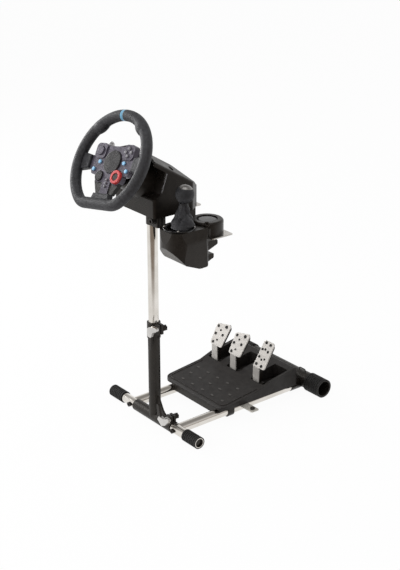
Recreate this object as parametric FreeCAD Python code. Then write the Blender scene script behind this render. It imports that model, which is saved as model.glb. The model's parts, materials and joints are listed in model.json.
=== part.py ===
"""Folding floor stand carrying a steering wheel unit, a gear lever and three pedals.

Millimetres. X is the driver's right, Y points away from the driver, Z is up. Shapes are laid out
from the middle of the front tube on the floor, and moved to the middle of the footprint at the end.
"""
import math
import os

import FreeCAD
import Part
from FreeCAD import Placement, Rotation, Vector

# Fits
JOINT_GAP = 0.05         # between fixed round faces
SEAT_GAP = 0.2           # between fixed pieces laid on each other
RUN_GAP = 0.3            # around turning pins
SLIDE_GAP = 0.3          # around the telescoping tube and the folding sleeve
SWING_ROOM = 5.0         # around swinging pieces

# Stand tubes
TUBE_D = 28.0            # front tube, rails and upper mast
TUBE_WALL = 1.8
REAR_TUBE_D = 47.0
REAR_WALL = 2.0
FRONT_WIDTH = 392.0
REAR_WIDTH = 366.0
BASE_LENGTH = 460.0      # front tube axis to rear tube axis
RAIL_X = 99.0
RAIL_DROP = 6.0          # rails enter the rear tube below its axis
BOLT_R = 4.0
BOLT_HEAD_R = 6.5
BOLT_HEAD_H = 5.5

# Rubber feet
FRONT_FOOT_WALL = 2.8
FRONT_FOOT_L = 56.5
REAR_FOOT_WALL = 3.6
REAR_FOOT_L = 57.0
FOOT_GROOVES = 7
GROOVE_W = 2.2
GROOVE_DEPTH = 0.9
SOLE = 0.4               # depth of the flat under each foot
SOLE_W = 7.0

# Pedal fixings on the rails
STOP_BACK = 2.0          # cross plate behind the front edge of the pedal base
STOP_T = 3.0
STOP_DROP = 19.0
STOP_FLANGE = 26.0
CLIP_BACK = 37.0
CLIP_L = 18.0
CLIP_T = 3.5
STRAP_BACK = 80.0
STRAP_W = 26.0
STRAP_T = 3.0
STRAP_ROUND = 4.0
STRAP_LEFT = 14.0        # reach past the pedal base
STRAP_RIGHT = 47.0

# Pedal base
PEDAL_X = -2.5           # middle of the base
PEDAL_W = 263.0
PEDAL_LENGTH = 279.0
PEDAL_TO_TUBE = 26.5     # gap between the pedal base and the rear tube
LIP_H = 5.0
HEEL_FRONT_H = 10.0      # top of the heel rest above the underside
HEEL_BACK_H = 24.5
HEEL_LENGTH = 131.0
RAMP_LENGTH = 41.0
RAMP_H = 39.0
RIDGE_H = 55.0
RIDGE_BACK = 12.0
PEDAL_CORNER = 24.0
RIDGE_ROUND = 8.0
RIDGE_REAR_ROUND = 6.0
RAMP_ROUND = 30.0
HEEL_EDGE = 2.0          # heel rest starts this far behind the lip's slope
HEEL_EDGE_ROUND = 5.0
LIP_ROUND = 3.0
WELL_ROUND = 5.0
WELL_FLOOR = 10.0
WELL_BACK = 78.0
WELL_W = 54.0
STUD_R = 5.5
STUD_H = 0.9
HEEL_ROWS = 3
HEEL_FIRST = 29.0        # first row of grip studs behind the front edge
HEEL_ROW_PITCH = 35.0
HEEL_PITCH = 44.0
HEEL_STAGGER = -9.0

# Pedals
PIVOT_BACK = 167.0       # pivot behind the front edge of the base
PIVOT_RISE = 22.0
PIN_R = 4.0
BOSS_R = 9.0
ARM_W = 24.0
ARM_DEPTH = 16.0
ARM_FRONT = 9.0
ARM_RISE = 52.0          # bend of the pedal above its pivot
FACE_LEAN = 31.0         # pedal faces lean away from the driver
PLATE_T = 3.0
PAD_DEPTH = 11.0
ARM_STEP = 4.0           # back of the arm below its bend
FACE_LOW_ROUND = 7.0
FACE_HIGH_ROUND = 8.0
FACE_EDGE = 1.0
BACKING_IN = 4.0         # backing drawn in from the edges of its face
BACKING_DROP = 6.0       # backing below the top of its face
BACKING_LOW_ROUND = 6.0
BACKING_HIGH_ROUND = 7.0
CLUTCH_IN = 34.0         # arms from the sides of the base
BRAKE_X = -14.0
THROTTLE_IN = 45.0
PEDALS = {
    "clutch": dict(offset=CLUTCH_IN - PEDAL_W / 2, shift=4.0, low=50.0, high=58.0, left=62.0, right=74.0),
    "brake": dict(offset=BRAKE_X, shift=4.0, low=50.0, high=58.0, left=62.0, right=74.0),
    "throttle": dict(offset=PEDAL_W / 2 - THROTTLE_IN, shift=10.5, low=46.0, high=42.0,
                     left=80.0, right=80.0),
}
PAIR_STUDS = ((0.16, 0.87, 1.0), (0.72, 0.87, 1.2), (0.42, 0.70, 0.7), (0.15, 0.51, 1.0),
              (0.70, 0.51, 1.0), (0.44, 0.25, 0.7), (0.20, 0.12, 1.0))
LONG_STUDS = ((0.27, 0.92, 1.0), (0.70, 0.90, 1.0), (0.18, 0.66, 0.9), (0.42, 0.69, 0.8),
              (0.70, 0.64, 0.9), (0.17, 0.38, 0.9), (0.45, 0.31, 0.7), (0.68, 0.36, 0.7),
              (0.20, 0.11, 1.1), (0.66, 0.09, 1.0))
PAD_STUD_R = 4.2
PAD_STUD_H = 1.2
PAD_STUD_EDGE = 0.5

# Folding mast
MAST_WALL = 2.0
MAST_TOP = 298.0
SLEEVE_END = 1.0         # sleeve ends this far from the rails
WEB_T = 6.0
WEB_REACH = 50.0
WEB_RISE = 50.0
EAR_W = 20.0
EAR_SPLIT = 4.0
EAR_DEPTH = 18.0
EAR_RISE = 16.0
COLLAR_H = 44.0
COLLAR_WALL = 2.0
COLLAR_EAR = 13.0        # reach of the collar's ears past the collar
COLLAR_EAR_H = 28.0
CLAMP_BOLT_R = 3.0
CLAMP_HUB_R = 6.0
CAM_R = 12.0             # quick-release cams
CAM_T = 8.5
FOLD_CAM_TURN = 55.0     # clamped positions, degrees
FOLD_HANDLE_TURN = -9.0
HEIGHT_HANDLE_TURN = 178.0
HANDLE_L = 40.0
HANDLE_W = 14.0
HANDLE_T = 6.0
HANDLE_TIP = 9.0
CLAMP_KNOB_R = 8.0
CLAMP_KNOB_L = 12.0
KNOB_FLUTES = 6
UPPER_BOTTOM = 196.0

CAM_SHAPE = ((-1.0, 0.65), (0.25, 1.4), (2.5, 1.65), (2.35, 0.9), (0.9, 0.15), (0.25, -1.25), (-0.9, -1.25))

# Deck under the wheel unit
DECK_Z = 620.0           # top of the deck plate
DECK_T = 3.0
DECK_HALF = 63.0
DECK_FRONT = -42.0
DECK_BACK = 112.0
DECK_ROUND = 4.0
SOCKET_WALL = 2.2
SOCKET_H = 36.0
HEAD_T = 6.0
HEAD_HALF_X = 45.0
HEAD_HALF_Y = 22.0
HEAD_ROUND = 6.0
CLAMP_BLOCK = 26.0       # clamp block beside the socket
BLOCK_ROUND = 5.0
DECK_KNOB_R = 9.0
DECK_KNOB_L = 13.0

# Steering wheel
RIM_Y = -124.6
RIM_Z = 760.7
RIM_TILT = 31.8          # steering axis above the level
WHEEL_TURN = 10.5        # wheel stands a little to the left
RIM_R = 124.5            # middle of the grip
GRIP_R = 14.5
FLAT_V = 108.0           # flat bottom below the hub centre
FLAT_CORNER_R = 45.0
BAND_W = 10.0
FACE_W = -6.0            # front of the spoke plate along the steering axis
FACE_T = 13.0
SPOKE_HALF = 17.5
SPOKE_START = 81.0
SPOKE_FLARE = 7.0        # covers widen towards the grip
LOW_SPOKE_HALF = 15.0
LOW_SPOKE_END = 80.0
LOW_COVER_HALF = 30.0
COVER_RISE = 7.0         # covers stand proud of the spoke plate
COVER_EDGE = 3.5
PANEL_TOP = 46.0         # lower panel behind the buttons
PANEL_HALF = 50.0
PANEL_DROP = 2.0
PANEL_ROUND = 6.0
THUMB_ANGLE = 50.0       # thumb rests above the level
THUMB_IN = 4.0
THUMB_R = 16.0
THUMB_L = 28.0
HUB_X = 1.5
HUB_Y = 3.5
HUB_R = 30.0
HUB_T = 4.0
HUB_HALF = 72.0
HUB_WAIST = 48.0
HUB_FOOT = 28.0
HUB_HIGH = 45.0
HUB_LOW = -50.0
HUB_WING_LOW = -30.0
HUB_WING_ROUND = 9.0
HUB_WAIST_ROUND = 4.0
HUB_FOOT_ROUND = 8.0
HUB_TOP_ROUND = 10.0
PAD_X = 53.0             # button pods beside the hub
PAD_Y = 30.5
PAD_HALF = 20.0
PAD_RISE = 3.0
PAD_ROUND = 11.0
PAD_R = 12.0
PAD_EDGE = 1.5
DIAL_X = 33.5
DIAL_Y = -35.0
DIAL_R = 17.5
DIAL_DEPTH = 5.0
DIAL_H = 7.0
DIAL_WELL_R = 10.5
DIAL_WELL = 3.0
DIAL_EDGE = 1.5
DIAL_RIM = 3.0
DIAL_ROOM = 1.0          # around the dial in the spoke plate
DIAL_CENTRE_EDGE = 0.6
SELECTOR_R = 13.5        # round selector opposite the dial
BUTTON_R = 4.4
BUTTON_H = 3.5
BUTTON_RING = 10.0
BUTTON_EDGE = 1.2
BLUE_R = 5.0
BLUE_H = 4.0
BLUE_EDGE = 1.0
BLUE_PLACES = ((46.0, 2.0), (62.5, -18.0))
LOW_BUTTON_R = 3.0
LOW_BUTTON_EDGE = 0.8
LOW_BUTTONS = (-43.5, -52.0, -60.5)
BACK_R = 34.0
BACK_T = 24.0
SHAFT_R = 20.0
SHAFT_DEPTH = 32.0
SHAFT_END = 4.0          # room behind the end of the shaft
PADDLE_X = 40.0
PADDLE_Y = 10.0
PADDLE_DROP = 16.0       # paddles behind the spoke plate
PADDLE_T = 4.0
PADDLE_SPAN = 44.0
PADDLE_RISE = 58.0
PADDLE_FALL = 23.0
PADDLE_HALF = 12.6
PADDLE_ROUNDS = (3.0, 4.0, 6.0, 5.0, 8.0, 6.0, 5.0)      # corners from the root round the tip
PADDLE_LAP = 4.0         # hinge strip into the blade
PADDLE_PIN_R = 2.0
LUG_T = 4.0

# Wheel housing
HOUSING_HALF = 86.0
HOUSING_WALL = 3.0
ROOF_H = 60.0            # crown of the roof above the steering axis
ROOF_EDGE_H = 44.0
CROWN_HALF = 46.0
CROWN_BEND = 140.0       # crown starts to fall this far behind the rim centre
CROWN_END = 224.0
CROWN_ROUND = 70.0
CROWN_SIDE_ROUND = 14.0
ROOF_EDGE_ROUND = 8.0
VISOR_FRONT = 60.0       # roof edge behind the rim centre
VISOR_T = 4.0
VISOR_L = 46.0
VISOR_SKIRT = 10.0
HOUSING_FRONT = -35.0    # upright front below the visor
FRONT_LEAN = 13.8
HOUSING_LIP_Y = -56.0
HOUSING_LIP_Z = 670.0
LEDGE = 11.0
LIP_TOP_IN = 2.0
LIP_TOP_DROP = 4.0
LIP_TOP_ROUND = 2.0
HOUSING_REAR = 98.0
REAR_HALF = 62.0
SIDE_BACK = 66.0
HOUSING_FRONT_ROUND = 8.0
SIDE_BACK_ROUND = 14.0
HOUSING_REAR_ROUND = 12.0
NECK_FRONT = 48.0
NECK_R = 44.0
NECK_BASE_R = 56.0
NECK_L = 84.0
SCREW_X = 70.0
SCREW_T = 126.0
SCREW_FLOOR = 44.0
SCREW_WELL_R = 8.0

# Gear lever
SHIFT_X = 142.0
SHIFT_Y = -21.0
POD_HALF = 46.0
POD_BELLY_Z = 577.0      # widest level
POD_TOP_IN = 5.0         # sides drawn in at the top and at the bottom
POD_LOW_IN = 3.0
POD_TOP = 606.0
POD_BOTTOM = 503.0
POD_FRONT = -68.0
POD_BACK = 45.0
POD_CHIN_Z = 562.0
POD_KNEE_Y = -34.0
POD_KNEE_Z = 521.0
POD_HEEL_Y = 10.0
POD_ROUND = 42.0
POD_BACK_ROUND = 20.0
POD_SHELF_ROUND = 10.0   # back corner beside the shelf's post
POD_BELLY_ROUND = 30.0
POD_CHIN_ROUND = 8.0
POD_KNEE_ROUND = 12.0
POD_HEEL_ROUND = 20.0
POD_LOW_ROUND = 16.0
POD_SIDE_ROUND = 60.0
POD_WALL = 3.0
MOUTH_R = 33.0
RING_R = 41.0
RING_T = 4.0
PIVOT_DEPTH = 20.0       # lever pivot below the pod's top
KNOB_DX = 4.0
KNOB_DY = 15.0
KNOB_RISE = 106.5        # ball centre above the pivot
KNOB_R = 24.0
CAP_H = 8.5
LEVER_R = 6.0
HUB_BALL_R = 8.0
GIMBAL_PIN_R = 3.0
GIMBAL_T = 4.0
GIMBAL_DROP = 3.0        # gimbal below the lever's ball
CRADLE_DROP = 23.0
CRADLE_Y = 16.0
CRADLE_T = 5.0
BOOT_H = 50.0
BOOT_T = 2.5
BOOT_SLACK = 2.5         # between the boot's neck and the lever
DRUM_R = 42.0
DRUM_Y = 67.0
DRUM_TOP = 613.0
DRUM_EDGE = 6.0
DRUM_WELL_R = 27.0
DRUM_WELL = 3.0
SHOULDER_DROP = 6.0
JAW_W = 26.0
JAW_X = 19.0             # middle of the jaws right of the lever
JAW_GAP = 9.0
JAW_PITCH = 34.0
JAW_L = 31.0
JAW_T = 12.0
JAW_ROUND = 4.0
LOW_JAW_ROUND = 3.0
PEG_X = 24.0
PEG_Y = 20.0
PEG_L = 8.0
PEG_R = 4.0

# Shelf for the gear lever
SHELF_Z = 576.0
SHELF_T = 3.0
SHELF_LEFT = 44.0
SHELF_RIGHT = 191.0
SHELF_FRONT = 46.0
SHELF_BACK = 112.0
SHELF_ROUND = 4.0
POST_W = 12.0
POST_D = 20.0
POST_Y = 88.0

# Places that follow from the sizes above
TUBE_R = TUBE_D / 2
REAR_R = REAR_TUBE_D / 2
FRONT_Z = TUBE_R + FRONT_FOOT_WALL - SOLE
REAR_Z = REAR_R + REAR_FOOT_WALL - SOLE
RAIL_A = Vector(RAIL_X, 0, FRONT_Z)
RAIL_B = Vector(RAIL_X, BASE_LENGTH, REAR_Z - RAIL_DROP)
RAIL_DIR = (RAIL_B - RAIL_A).normalize()
FRONT_HALF = FRONT_WIDTH / 2
REAR_HALF_W = REAR_WIDTH / 2
MAST_R = TUBE_R + SLIDE_GAP + MAST_WALL
X_AXIS, Y_AXIS, Z_AXIS = Vector(1, 0, 0), Vector(0, 1, 0), Vector(0, 0, 1)
AXIS_PLACE = Placement(Vector(0, RIM_Y, RIM_Z), Rotation(X_AXIS, 90 - RIM_TILT))
WHEEL_PLACE = AXIS_PLACE.multiply(Placement(Vector(), Rotation(Z_AXIS, WHEEL_TURN)))

parts = {}


def rail_z(y):
    """Height of the rails' axis at y."""
    return RAIL_A.z + (RAIL_B.z - RAIL_A.z) * y / BASE_LENGTH


PEDAL_FRONT = BASE_LENGTH - REAR_R - PEDAL_TO_TUBE - PEDAL_LENGTH
STOP_Y, CLIP_Y, STRAP_Y = PEDAL_FRONT + STOP_BACK, PEDAL_FRONT + CLIP_BACK, PEDAL_FRONT + STRAP_BACK
STRAP_Z = rail_z(STRAP_Y + STRAP_W / 2) + TUBE_R + SEAT_GAP
PEDAL_FLOOR = STRAP_Z + STRAP_T + SEAT_GAP
PEDAL_LEFT, PEDAL_RIGHT = PEDAL_X - PEDAL_W / 2, PEDAL_X + PEDAL_W / 2
PIVOT_Y, PIVOT_Z = PEDAL_FRONT + PIVOT_BACK, PEDAL_FLOOR + PIVOT_RISE


def box(x0, x1, y0, y1, z0, z1):
    return Part.makeBox(x1 - x0, y1 - y0, z1 - z0, Vector(x0, y0, z0))


def cyl(start, end, r):
    a, b = Vector(*start), Vector(*end)
    return Part.makeCylinder(r, (b - a).Length, a, b - a)


def tube(start, end, r_out, r_in):
    return cyl(start, end, r_out).cut(cyl(start, end, r_in))


def across(x0, x1, y, z, r):
    """Cylinder along X."""
    return cyl((x0, y, z), (x1, y, z), r)


def deep(x, z, y0, y1, r):
    """Cylinder along Y."""
    return cyl((x, y0, z), (x, y1, z), r)


def upright(x, y, z0, z1, r):
    """Cylinder along Z."""
    return cyl((x, y, z0), (x, y, z1), r)


def outline(points):
    """Closed face in the XY plane from corners (x, y, corner radius)."""
    ends, arcs = [], []
    n = len(points)
    for i in range(n):
        p = Vector(points[i][0], points[i][1], 0)
        r = points[i][2] if len(points[i]) > 2 else 0
        d1 = Vector(points[i - 1][0], points[i - 1][1], 0) - p
        d2 = Vector(points[(i + 1) % n][0], points[(i + 1) % n][1], 0) - p
        d1.normalize()
        d2.normalize()
        if r <= 0:
            ends.append((p, p))
            arcs.append(None)
            continue
        half = d1.getAngle(d2) / 2
        mid = (d1 + d2).normalize()
        s, e = p + d1 * (r / math.tan(half)), p + d2 * (r / math.tan(half))
        ends.append((s, e))
        arcs.append(Part.Arc(s, p + mid * (r / math.sin(half) - r), e).toShape())
    edges = []
    for i in range(n):
        if arcs[i] is not None:
            edges.append(arcs[i])
        a, b = ends[i][1], ends[(i + 1) % n][0]
        if (b - a).Length > 1e-6:
            edges.append(Part.makeLine(a, b))
    return Part.Face(Part.Wire(edges))


def moved(shape, place):
    out = shape.copy()
    out.Placement = place.multiply(out.Placement)
    return out


def prism_z(points, z0, z1):
    face = outline(points)
    face.translate(Vector(0, 0, z0))
    return face.extrude(Vector(0, 0, z1 - z0))


def prism_x(points, x0, x1):
    """Corners are (y, z, radius)."""
    return moved(prism_z(points, x0, x1), Placement(Vector(), Rotation(Vector(1, 1, 1), 120)))


def prism_y(points, y0, y1):
    """Corners are (x, z, radius)."""
    return moved(prism_z(points, -y1, -y0), Placement(Vector(), Rotation(X_AXIS, 90)))


def plate(x0, x1, y0, y1, z0, z1, r):
    """Flat plate with rounded corners."""
    return prism_z([(x0, y0, r), (x1, y0, r), (x1, y1, r), (x0, y1, r)], z0, z1)


def join(shapes):
    out = shapes[0]
    for s in shapes[1:]:
        out = out.fuse(s)
    return out.removeSplitter()


def mirrored(shape):
    return shape.mirror(Vector(0, 0, 0), X_AXIS)


def pair(shape):
    return Part.makeCompound([shape, mirrored(shape)])


def round_level(shape, z, r):
    """Round the edges that lie flat at height z."""
    edges = [e for e in shape.Edges
             if abs(e.BoundBox.ZMin - z) < 1e-4 and abs(e.BoundBox.ZMax - z) < 1e-4]
    return shape.makeFillet(r, edges)


def button(x, y, z0, z1, r, edge):
    """Round push button with a softened front edge."""
    return round_level(upright(x, y, z0, z1, r), z1, edge)


def foot(half, length, r_in, wall, y, z):
    """Ribbed rubber sleeve on the right end of a tube, with a flat sole."""
    x0, r_out = half - length, r_in + wall
    body = across(x0, half, y, z, r_out)
    pitch = length / (FOOT_GROOVES + 1)
    for i in range(FOOT_GROOVES):
        x = x0 + pitch * (i + 1)
        groove = across(x - GROOVE_W / 2, x + GROOVE_W / 2, y, z, r_out + 1)
        body = body.cut(groove.cut(across(x - GROOVE_W, x + GROOVE_W, y, z, r_out - GROOVE_DEPTH)))
    sole = across(x0, half, y, z, r_out).common(
        box(x0, half, y - SOLE_W / 2, y + SOLE_W / 2, 0, r_out / 4))
    body = body.fuse(sole).removeSplitter()
    body = body.cut(box(x0 - 1, half + 1, y - r_out, y + r_out, -r_out, 0))
    return body.cut(across(x0 - 1, half + 1, y, z, r_in))


def make_base():
    front = across(-FRONT_HALF, FRONT_HALF, 0, FRONT_Z, TUBE_R)
    front = front.cut(across(-FRONT_HALF, FRONT_HALF, 0, FRONT_Z, TUBE_R - TUBE_WALL))
    for s in (-1, 1):
        front = front.cut(deep(s * RAIL_X, FRONT_Z, -TUBE_D, TUBE_D, BOLT_R + JOINT_GAP))
    parts["front_tube"] = front
    parts["front_feet"] = pair(foot(FRONT_HALF, FRONT_FOOT_L, TUBE_R + JOINT_GAP,
                                    FRONT_FOOT_WALL - JOINT_GAP, 0, FRONT_Z))
    plug_r = TUBE_R - TUBE_WALL - JOINT_GAP
    plug = across(FRONT_HALF - TUBE_R, FRONT_HALF - TUBE_WALL, 0, FRONT_Z, plug_r)
    plug = plug.cut(across(FRONT_HALF - 3 * TUBE_WALL, FRONT_HALF, 0, FRONT_Z, plug_r - TUBE_WALL))
    parts["tube_plugs"] = pair(plug)
    parts["rear_tube"] = tube((-REAR_HALF_W, BASE_LENGTH, REAR_Z), (REAR_HALF_W, BASE_LENGTH, REAR_Z),
                              REAR_R, REAR_R - REAR_WALL)
    parts["rear_feet"] = pair(foot(REAR_HALF_W, REAR_FOOT_L, REAR_R + JOINT_GAP,
                                   REAR_FOOT_WALL - JOINT_GAP, BASE_LENGTH, REAR_Z))
    rail = tube(RAIL_A, RAIL_B, TUBE_R, TUBE_R - TUBE_WALL)
    rail = rail.cut(across(0, FRONT_HALF, 0, FRONT_Z, TUBE_R + JOINT_GAP))
    rail = rail.cut(across(0, REAR_HALF_W, BASE_LENGTH, REAR_Z, REAR_R + JOINT_GAP))
    parts["rails"] = pair(rail)
    head = deep(RAIL_X, FRONT_Z, -TUBE_R - BOLT_HEAD_H, 0, BOLT_HEAD_R)
    head = head.cut(across(RAIL_X - TUBE_D, RAIL_X + TUBE_D, 0, FRONT_Z, TUBE_R + JOINT_GAP))
    bolt = head.fuse(deep(RAIL_X, FRONT_Z, -TUBE_R - BOLT_HEAD_H / 2, TUBE_R + BOLT_HEAD_H, BOLT_R))
    socket = deep(RAIL_X, FRONT_Z, -TUBE_R - BOLT_HEAD_H - 1, -TUBE_R - BOLT_HEAD_H / 2, BOLT_HEAD_R * 0.45)
    parts["rail_bolts"] = pair(bolt.cut(socket))


def make_pedal_fixings():
    stop_top = PEDAL_FLOOR - SEAT_GAP
    stop = prism_x([(STOP_Y, stop_top - STOP_DROP, 2), (STOP_Y + STOP_T, stop_top - STOP_DROP),
                    (STOP_Y + STOP_T, stop_top - STOP_T), (STOP_Y + STOP_FLANGE, stop_top - STOP_T),
                    (STOP_Y + STOP_FLANGE, stop_top), (STOP_Y, stop_top, 2)], -RAIL_X, RAIL_X)
    for s in (-1, 1):
        near, far = (s * RAIL_X, 0, RAIL_A.z), (s * RAIL_X, BASE_LENGTH, RAIL_B.z)
        stop = stop.cut(cyl(near, far, TUBE_R + JOINT_GAP))
    parts["pedal_stop"] = stop
    clip_a, clip_b = RAIL_A + RAIL_DIR * CLIP_Y, RAIL_A + RAIL_DIR * (CLIP_Y + CLIP_L)
    clip = tube(clip_a, clip_b, TUBE_R + CLIP_T, TUBE_R + JOINT_GAP)
    clip = clip.cut(box(RAIL_X - TUBE_D, RAIL_X + TUBE_D, CLIP_Y - TUBE_D, CLIP_Y + CLIP_L + TUBE_D,
                        clip_a.z, clip_a.z + TUBE_D))
    side = RAIL_X + TUBE_R + JOINT_GAP
    tab = box(side, side + CLIP_T - JOINT_GAP, clip_a.y, clip_b.y, clip_a.z, PEDAL_FLOOR - SEAT_GAP)
    clip = clip.fuse(tab)
    parts["rail_clips"] = pair(clip.removeSplitter())
    x0, x1 = PEDAL_LEFT - STRAP_LEFT, PEDAL_RIGHT + STRAP_RIGHT
    strap = plate(x0, x1, STRAP_Y - STRAP_W / 2, STRAP_Y + STRAP_W / 2, STRAP_Z, STRAP_Z + STRAP_T,
                  STRAP_ROUND)
    screw_x = x1 - STRAP_W / 2
    screw_top = STRAP_Z + STRAP_T + BOLT_R
    parts["pedal_strap"] = strap.cut(upright(screw_x, STRAP_Y, 0, screw_top, CLAMP_BOLT_R + JOINT_GAP))
    screw = upright(screw_x, STRAP_Y, STRAP_Z + STRAP_T, screw_top, BOLT_HEAD_R)
    parts["strap_screw"] = screw.fuse(
        upright(screw_x, STRAP_Y, STRAP_Z - BOLT_HEAD_H, screw_top - 1, CLAMP_BOLT_R)).removeSplitter()


def heel_height(back):
    """Height of the heel rest at a distance behind the front edge of the base."""
    front = LIP_H + HEEL_EDGE
    share = (back - front) / (HEEL_LENGTH - front)
    return PEDAL_FLOOR + HEEL_FRONT_H + (HEEL_BACK_H - HEEL_FRONT_H) * share


def make_pedal_base():
    rear = PEDAL_FRONT + PEDAL_LENGTH
    plan = [(PEDAL_LEFT, PEDAL_FRONT, PEDAL_CORNER), (PEDAL_RIGHT, PEDAL_FRONT, PEDAL_CORNER),
            (PEDAL_RIGHT, rear, PEDAL_CORNER / 2), (PEDAL_LEFT, rear, PEDAL_CORNER / 2)]
    side = [(PEDAL_FRONT, PEDAL_FLOOR), (rear, PEDAL_FLOOR),
            (rear, PEDAL_FLOOR + RIDGE_H - RIDGE_BACK, RIDGE_REAR_ROUND),
            (rear - RIDGE_BACK, PEDAL_FLOOR + RIDGE_H, RIDGE_ROUND),
            (PEDAL_FRONT + HEEL_LENGTH + RAMP_LENGTH, PEDAL_FLOOR + RAMP_H, RAMP_ROUND),
            (PEDAL_FRONT + HEEL_LENGTH, PEDAL_FLOOR + HEEL_BACK_H, RAMP_ROUND),
            (PEDAL_FRONT + LIP_H + HEEL_EDGE, PEDAL_FLOOR + HEEL_FRONT_H, HEEL_EDGE_ROUND),
            (PEDAL_FRONT, PEDAL_FLOOR + LIP_H, LIP_ROUND)]
    base = prism_z(plan, PEDAL_FLOOR, PEDAL_FLOOR + 2 * RIDGE_H).common(
        prism_x(side, PEDAL_LEFT - 1, PEDAL_RIGHT + 1))
    for p in PEDALS.values():
        mid, half = PEDAL_X + p["offset"] + p["shift"], WELL_W / 2
        base = base.cut(plate(mid - half, mid + half, PIVOT_Y - ARM_FRONT - SWING_ROOM, PIVOT_Y + WELL_BACK,
                              PEDAL_FLOOR + WELL_FLOOR, PEDAL_FLOOR + 2 * RIDGE_H, WELL_ROUND))
        base = base.cut(across(mid - half - PIN_R - RUN_GAP, mid + half + PIN_R + RUN_GAP,
                               PIVOT_Y, PIVOT_Z, PIN_R + RUN_GAP))
    parts["pedal_base"] = base
    lean = math.degrees(math.atan2(HEEL_BACK_H - HEEL_FRONT_H, HEEL_LENGTH - LIP_H - 2))
    studs = []
    for row in range(HEEL_ROWS):
        back = HEEL_FIRST + row * HEEL_ROW_PITCH
        for i in range(-2, 3):
            x = PEDAL_X + i * HEEL_PITCH + (row - 1) * HEEL_STAGGER
            stud = plate(-STUD_R, STUD_R, -STUD_R / 2, STUD_R / 2, 0, STUD_H, STUD_R / 2.1)
            studs.append(moved(stud, Placement(Vector(x, PEDAL_FRONT + back, heel_height(back)),
                                               Rotation(X_AXIS, lean))))
    parts["heel_studs"] = Part.makeCompound(studs)


def make_pedals():
    lean = math.radians(FACE_LEAN)
    up_y, up_z = math.sin(lean), math.cos(lean)
    bend_y, bend_z = PIVOT_Y - ARM_FRONT, PIVOT_Z + ARM_RISE
    half_pin = WELL_W / 2 + PIN_R
    for name, p in PEDALS.items():
        x = PEDAL_X + p["offset"]
        mid = x + p["shift"]
        low, high = p["low"] / 2, p["high"] / 2
        top = min(p["left"], p["right"]) - PLATE_T
        back_y, back_z = up_z, -up_y
        tip = (bend_y + up_y * top, bend_z + up_z * top)
        arm = prism_x([(bend_y + PLATE_T, PIVOT_Z), (bend_y + ARM_DEPTH, PIVOT_Z),
                       (bend_y + ARM_DEPTH, bend_z - ARM_STEP),
                       (tip[0] + back_y * PAD_DEPTH, tip[1] + back_z * PAD_DEPTH),
                       (tip[0] + back_y * PLATE_T, tip[1] + back_z * PLATE_T),
                       (bend_y + PLATE_T, bend_z - PLATE_T * math.tan(lean / 2))],
                      x - ARM_W / 2 + 1, x + ARM_W / 2 - 1)
        arm = arm.fuse(across(x - ARM_W / 2 + 1, x + ARM_W / 2 - 1, PIVOT_Y, PIVOT_Z, BOSS_R))
        arm = arm.fuse(across(mid - half_pin, mid + half_pin, PIVOT_Y, PIVOT_Z, PIN_R))
        face_place = Placement(Vector(mid, bend_y, bend_z), Rotation(X_AXIS, 90 - FACE_LEAN))
        pad = prism_z([(-low, 0, FACE_LOW_ROUND), (low, 0, FACE_LOW_ROUND),
                       (high, p["right"], FACE_HIGH_ROUND), (-high, p["left"], FACE_HIGH_ROUND)], -PLATE_T, 0)
        in_low, in_high = low - BACKING_IN, high - BACKING_IN
        backing = prism_z([(-in_low, BACKING_IN, BACKING_LOW_ROUND), (in_low, BACKING_IN, BACKING_LOW_ROUND),
                           (in_high, p["right"] - BACKING_DROP, BACKING_HIGH_ROUND),
                           (-in_high, p["left"] - BACKING_DROP, BACKING_HIGH_ROUND)], -PAD_DEPTH, -PLATE_T)
        parts[name + "_arm"] = arm.fuse(moved(backing, face_place)).removeSplitter()
        strip = box(x - ARM_W / 2, x + ARM_W / 2, bend_y, bend_y + PLATE_T, PIVOT_Z, bend_z + PLATE_T)
        strip = strip.cut(across(x - ARM_W, x + ARM_W, PIVOT_Y, PIVOT_Z, BOSS_R + JOINT_GAP))
        strip = strip.cut(moved(box(-WELL_W, WELL_W, -PLATE_T, WELL_W, 0, WELL_W), face_place))
        strip = strip.cut(parts[name + "_arm"])
        parts[name + "_face"] = round_level(pad, 0, FACE_EDGE)
        parts[name + "_face"] = moved(parts[name + "_face"], face_place).fuse(strip).removeSplitter()
        studs = []
        for u, v, size in (LONG_STUDS if name == "throttle" else PAIR_STUDS):
            half = low + (high - low) * v
            along = v * (p["left"] + (p["right"] - p["left"]) * u)
            studs.append(button((2 * u - 1) * half, along, 0, PAD_STUD_H, PAD_STUD_R * size, PAD_STUD_EDGE))
        parts[name + "_studs"] = moved(Part.makeCompound(studs), face_place)


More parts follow.
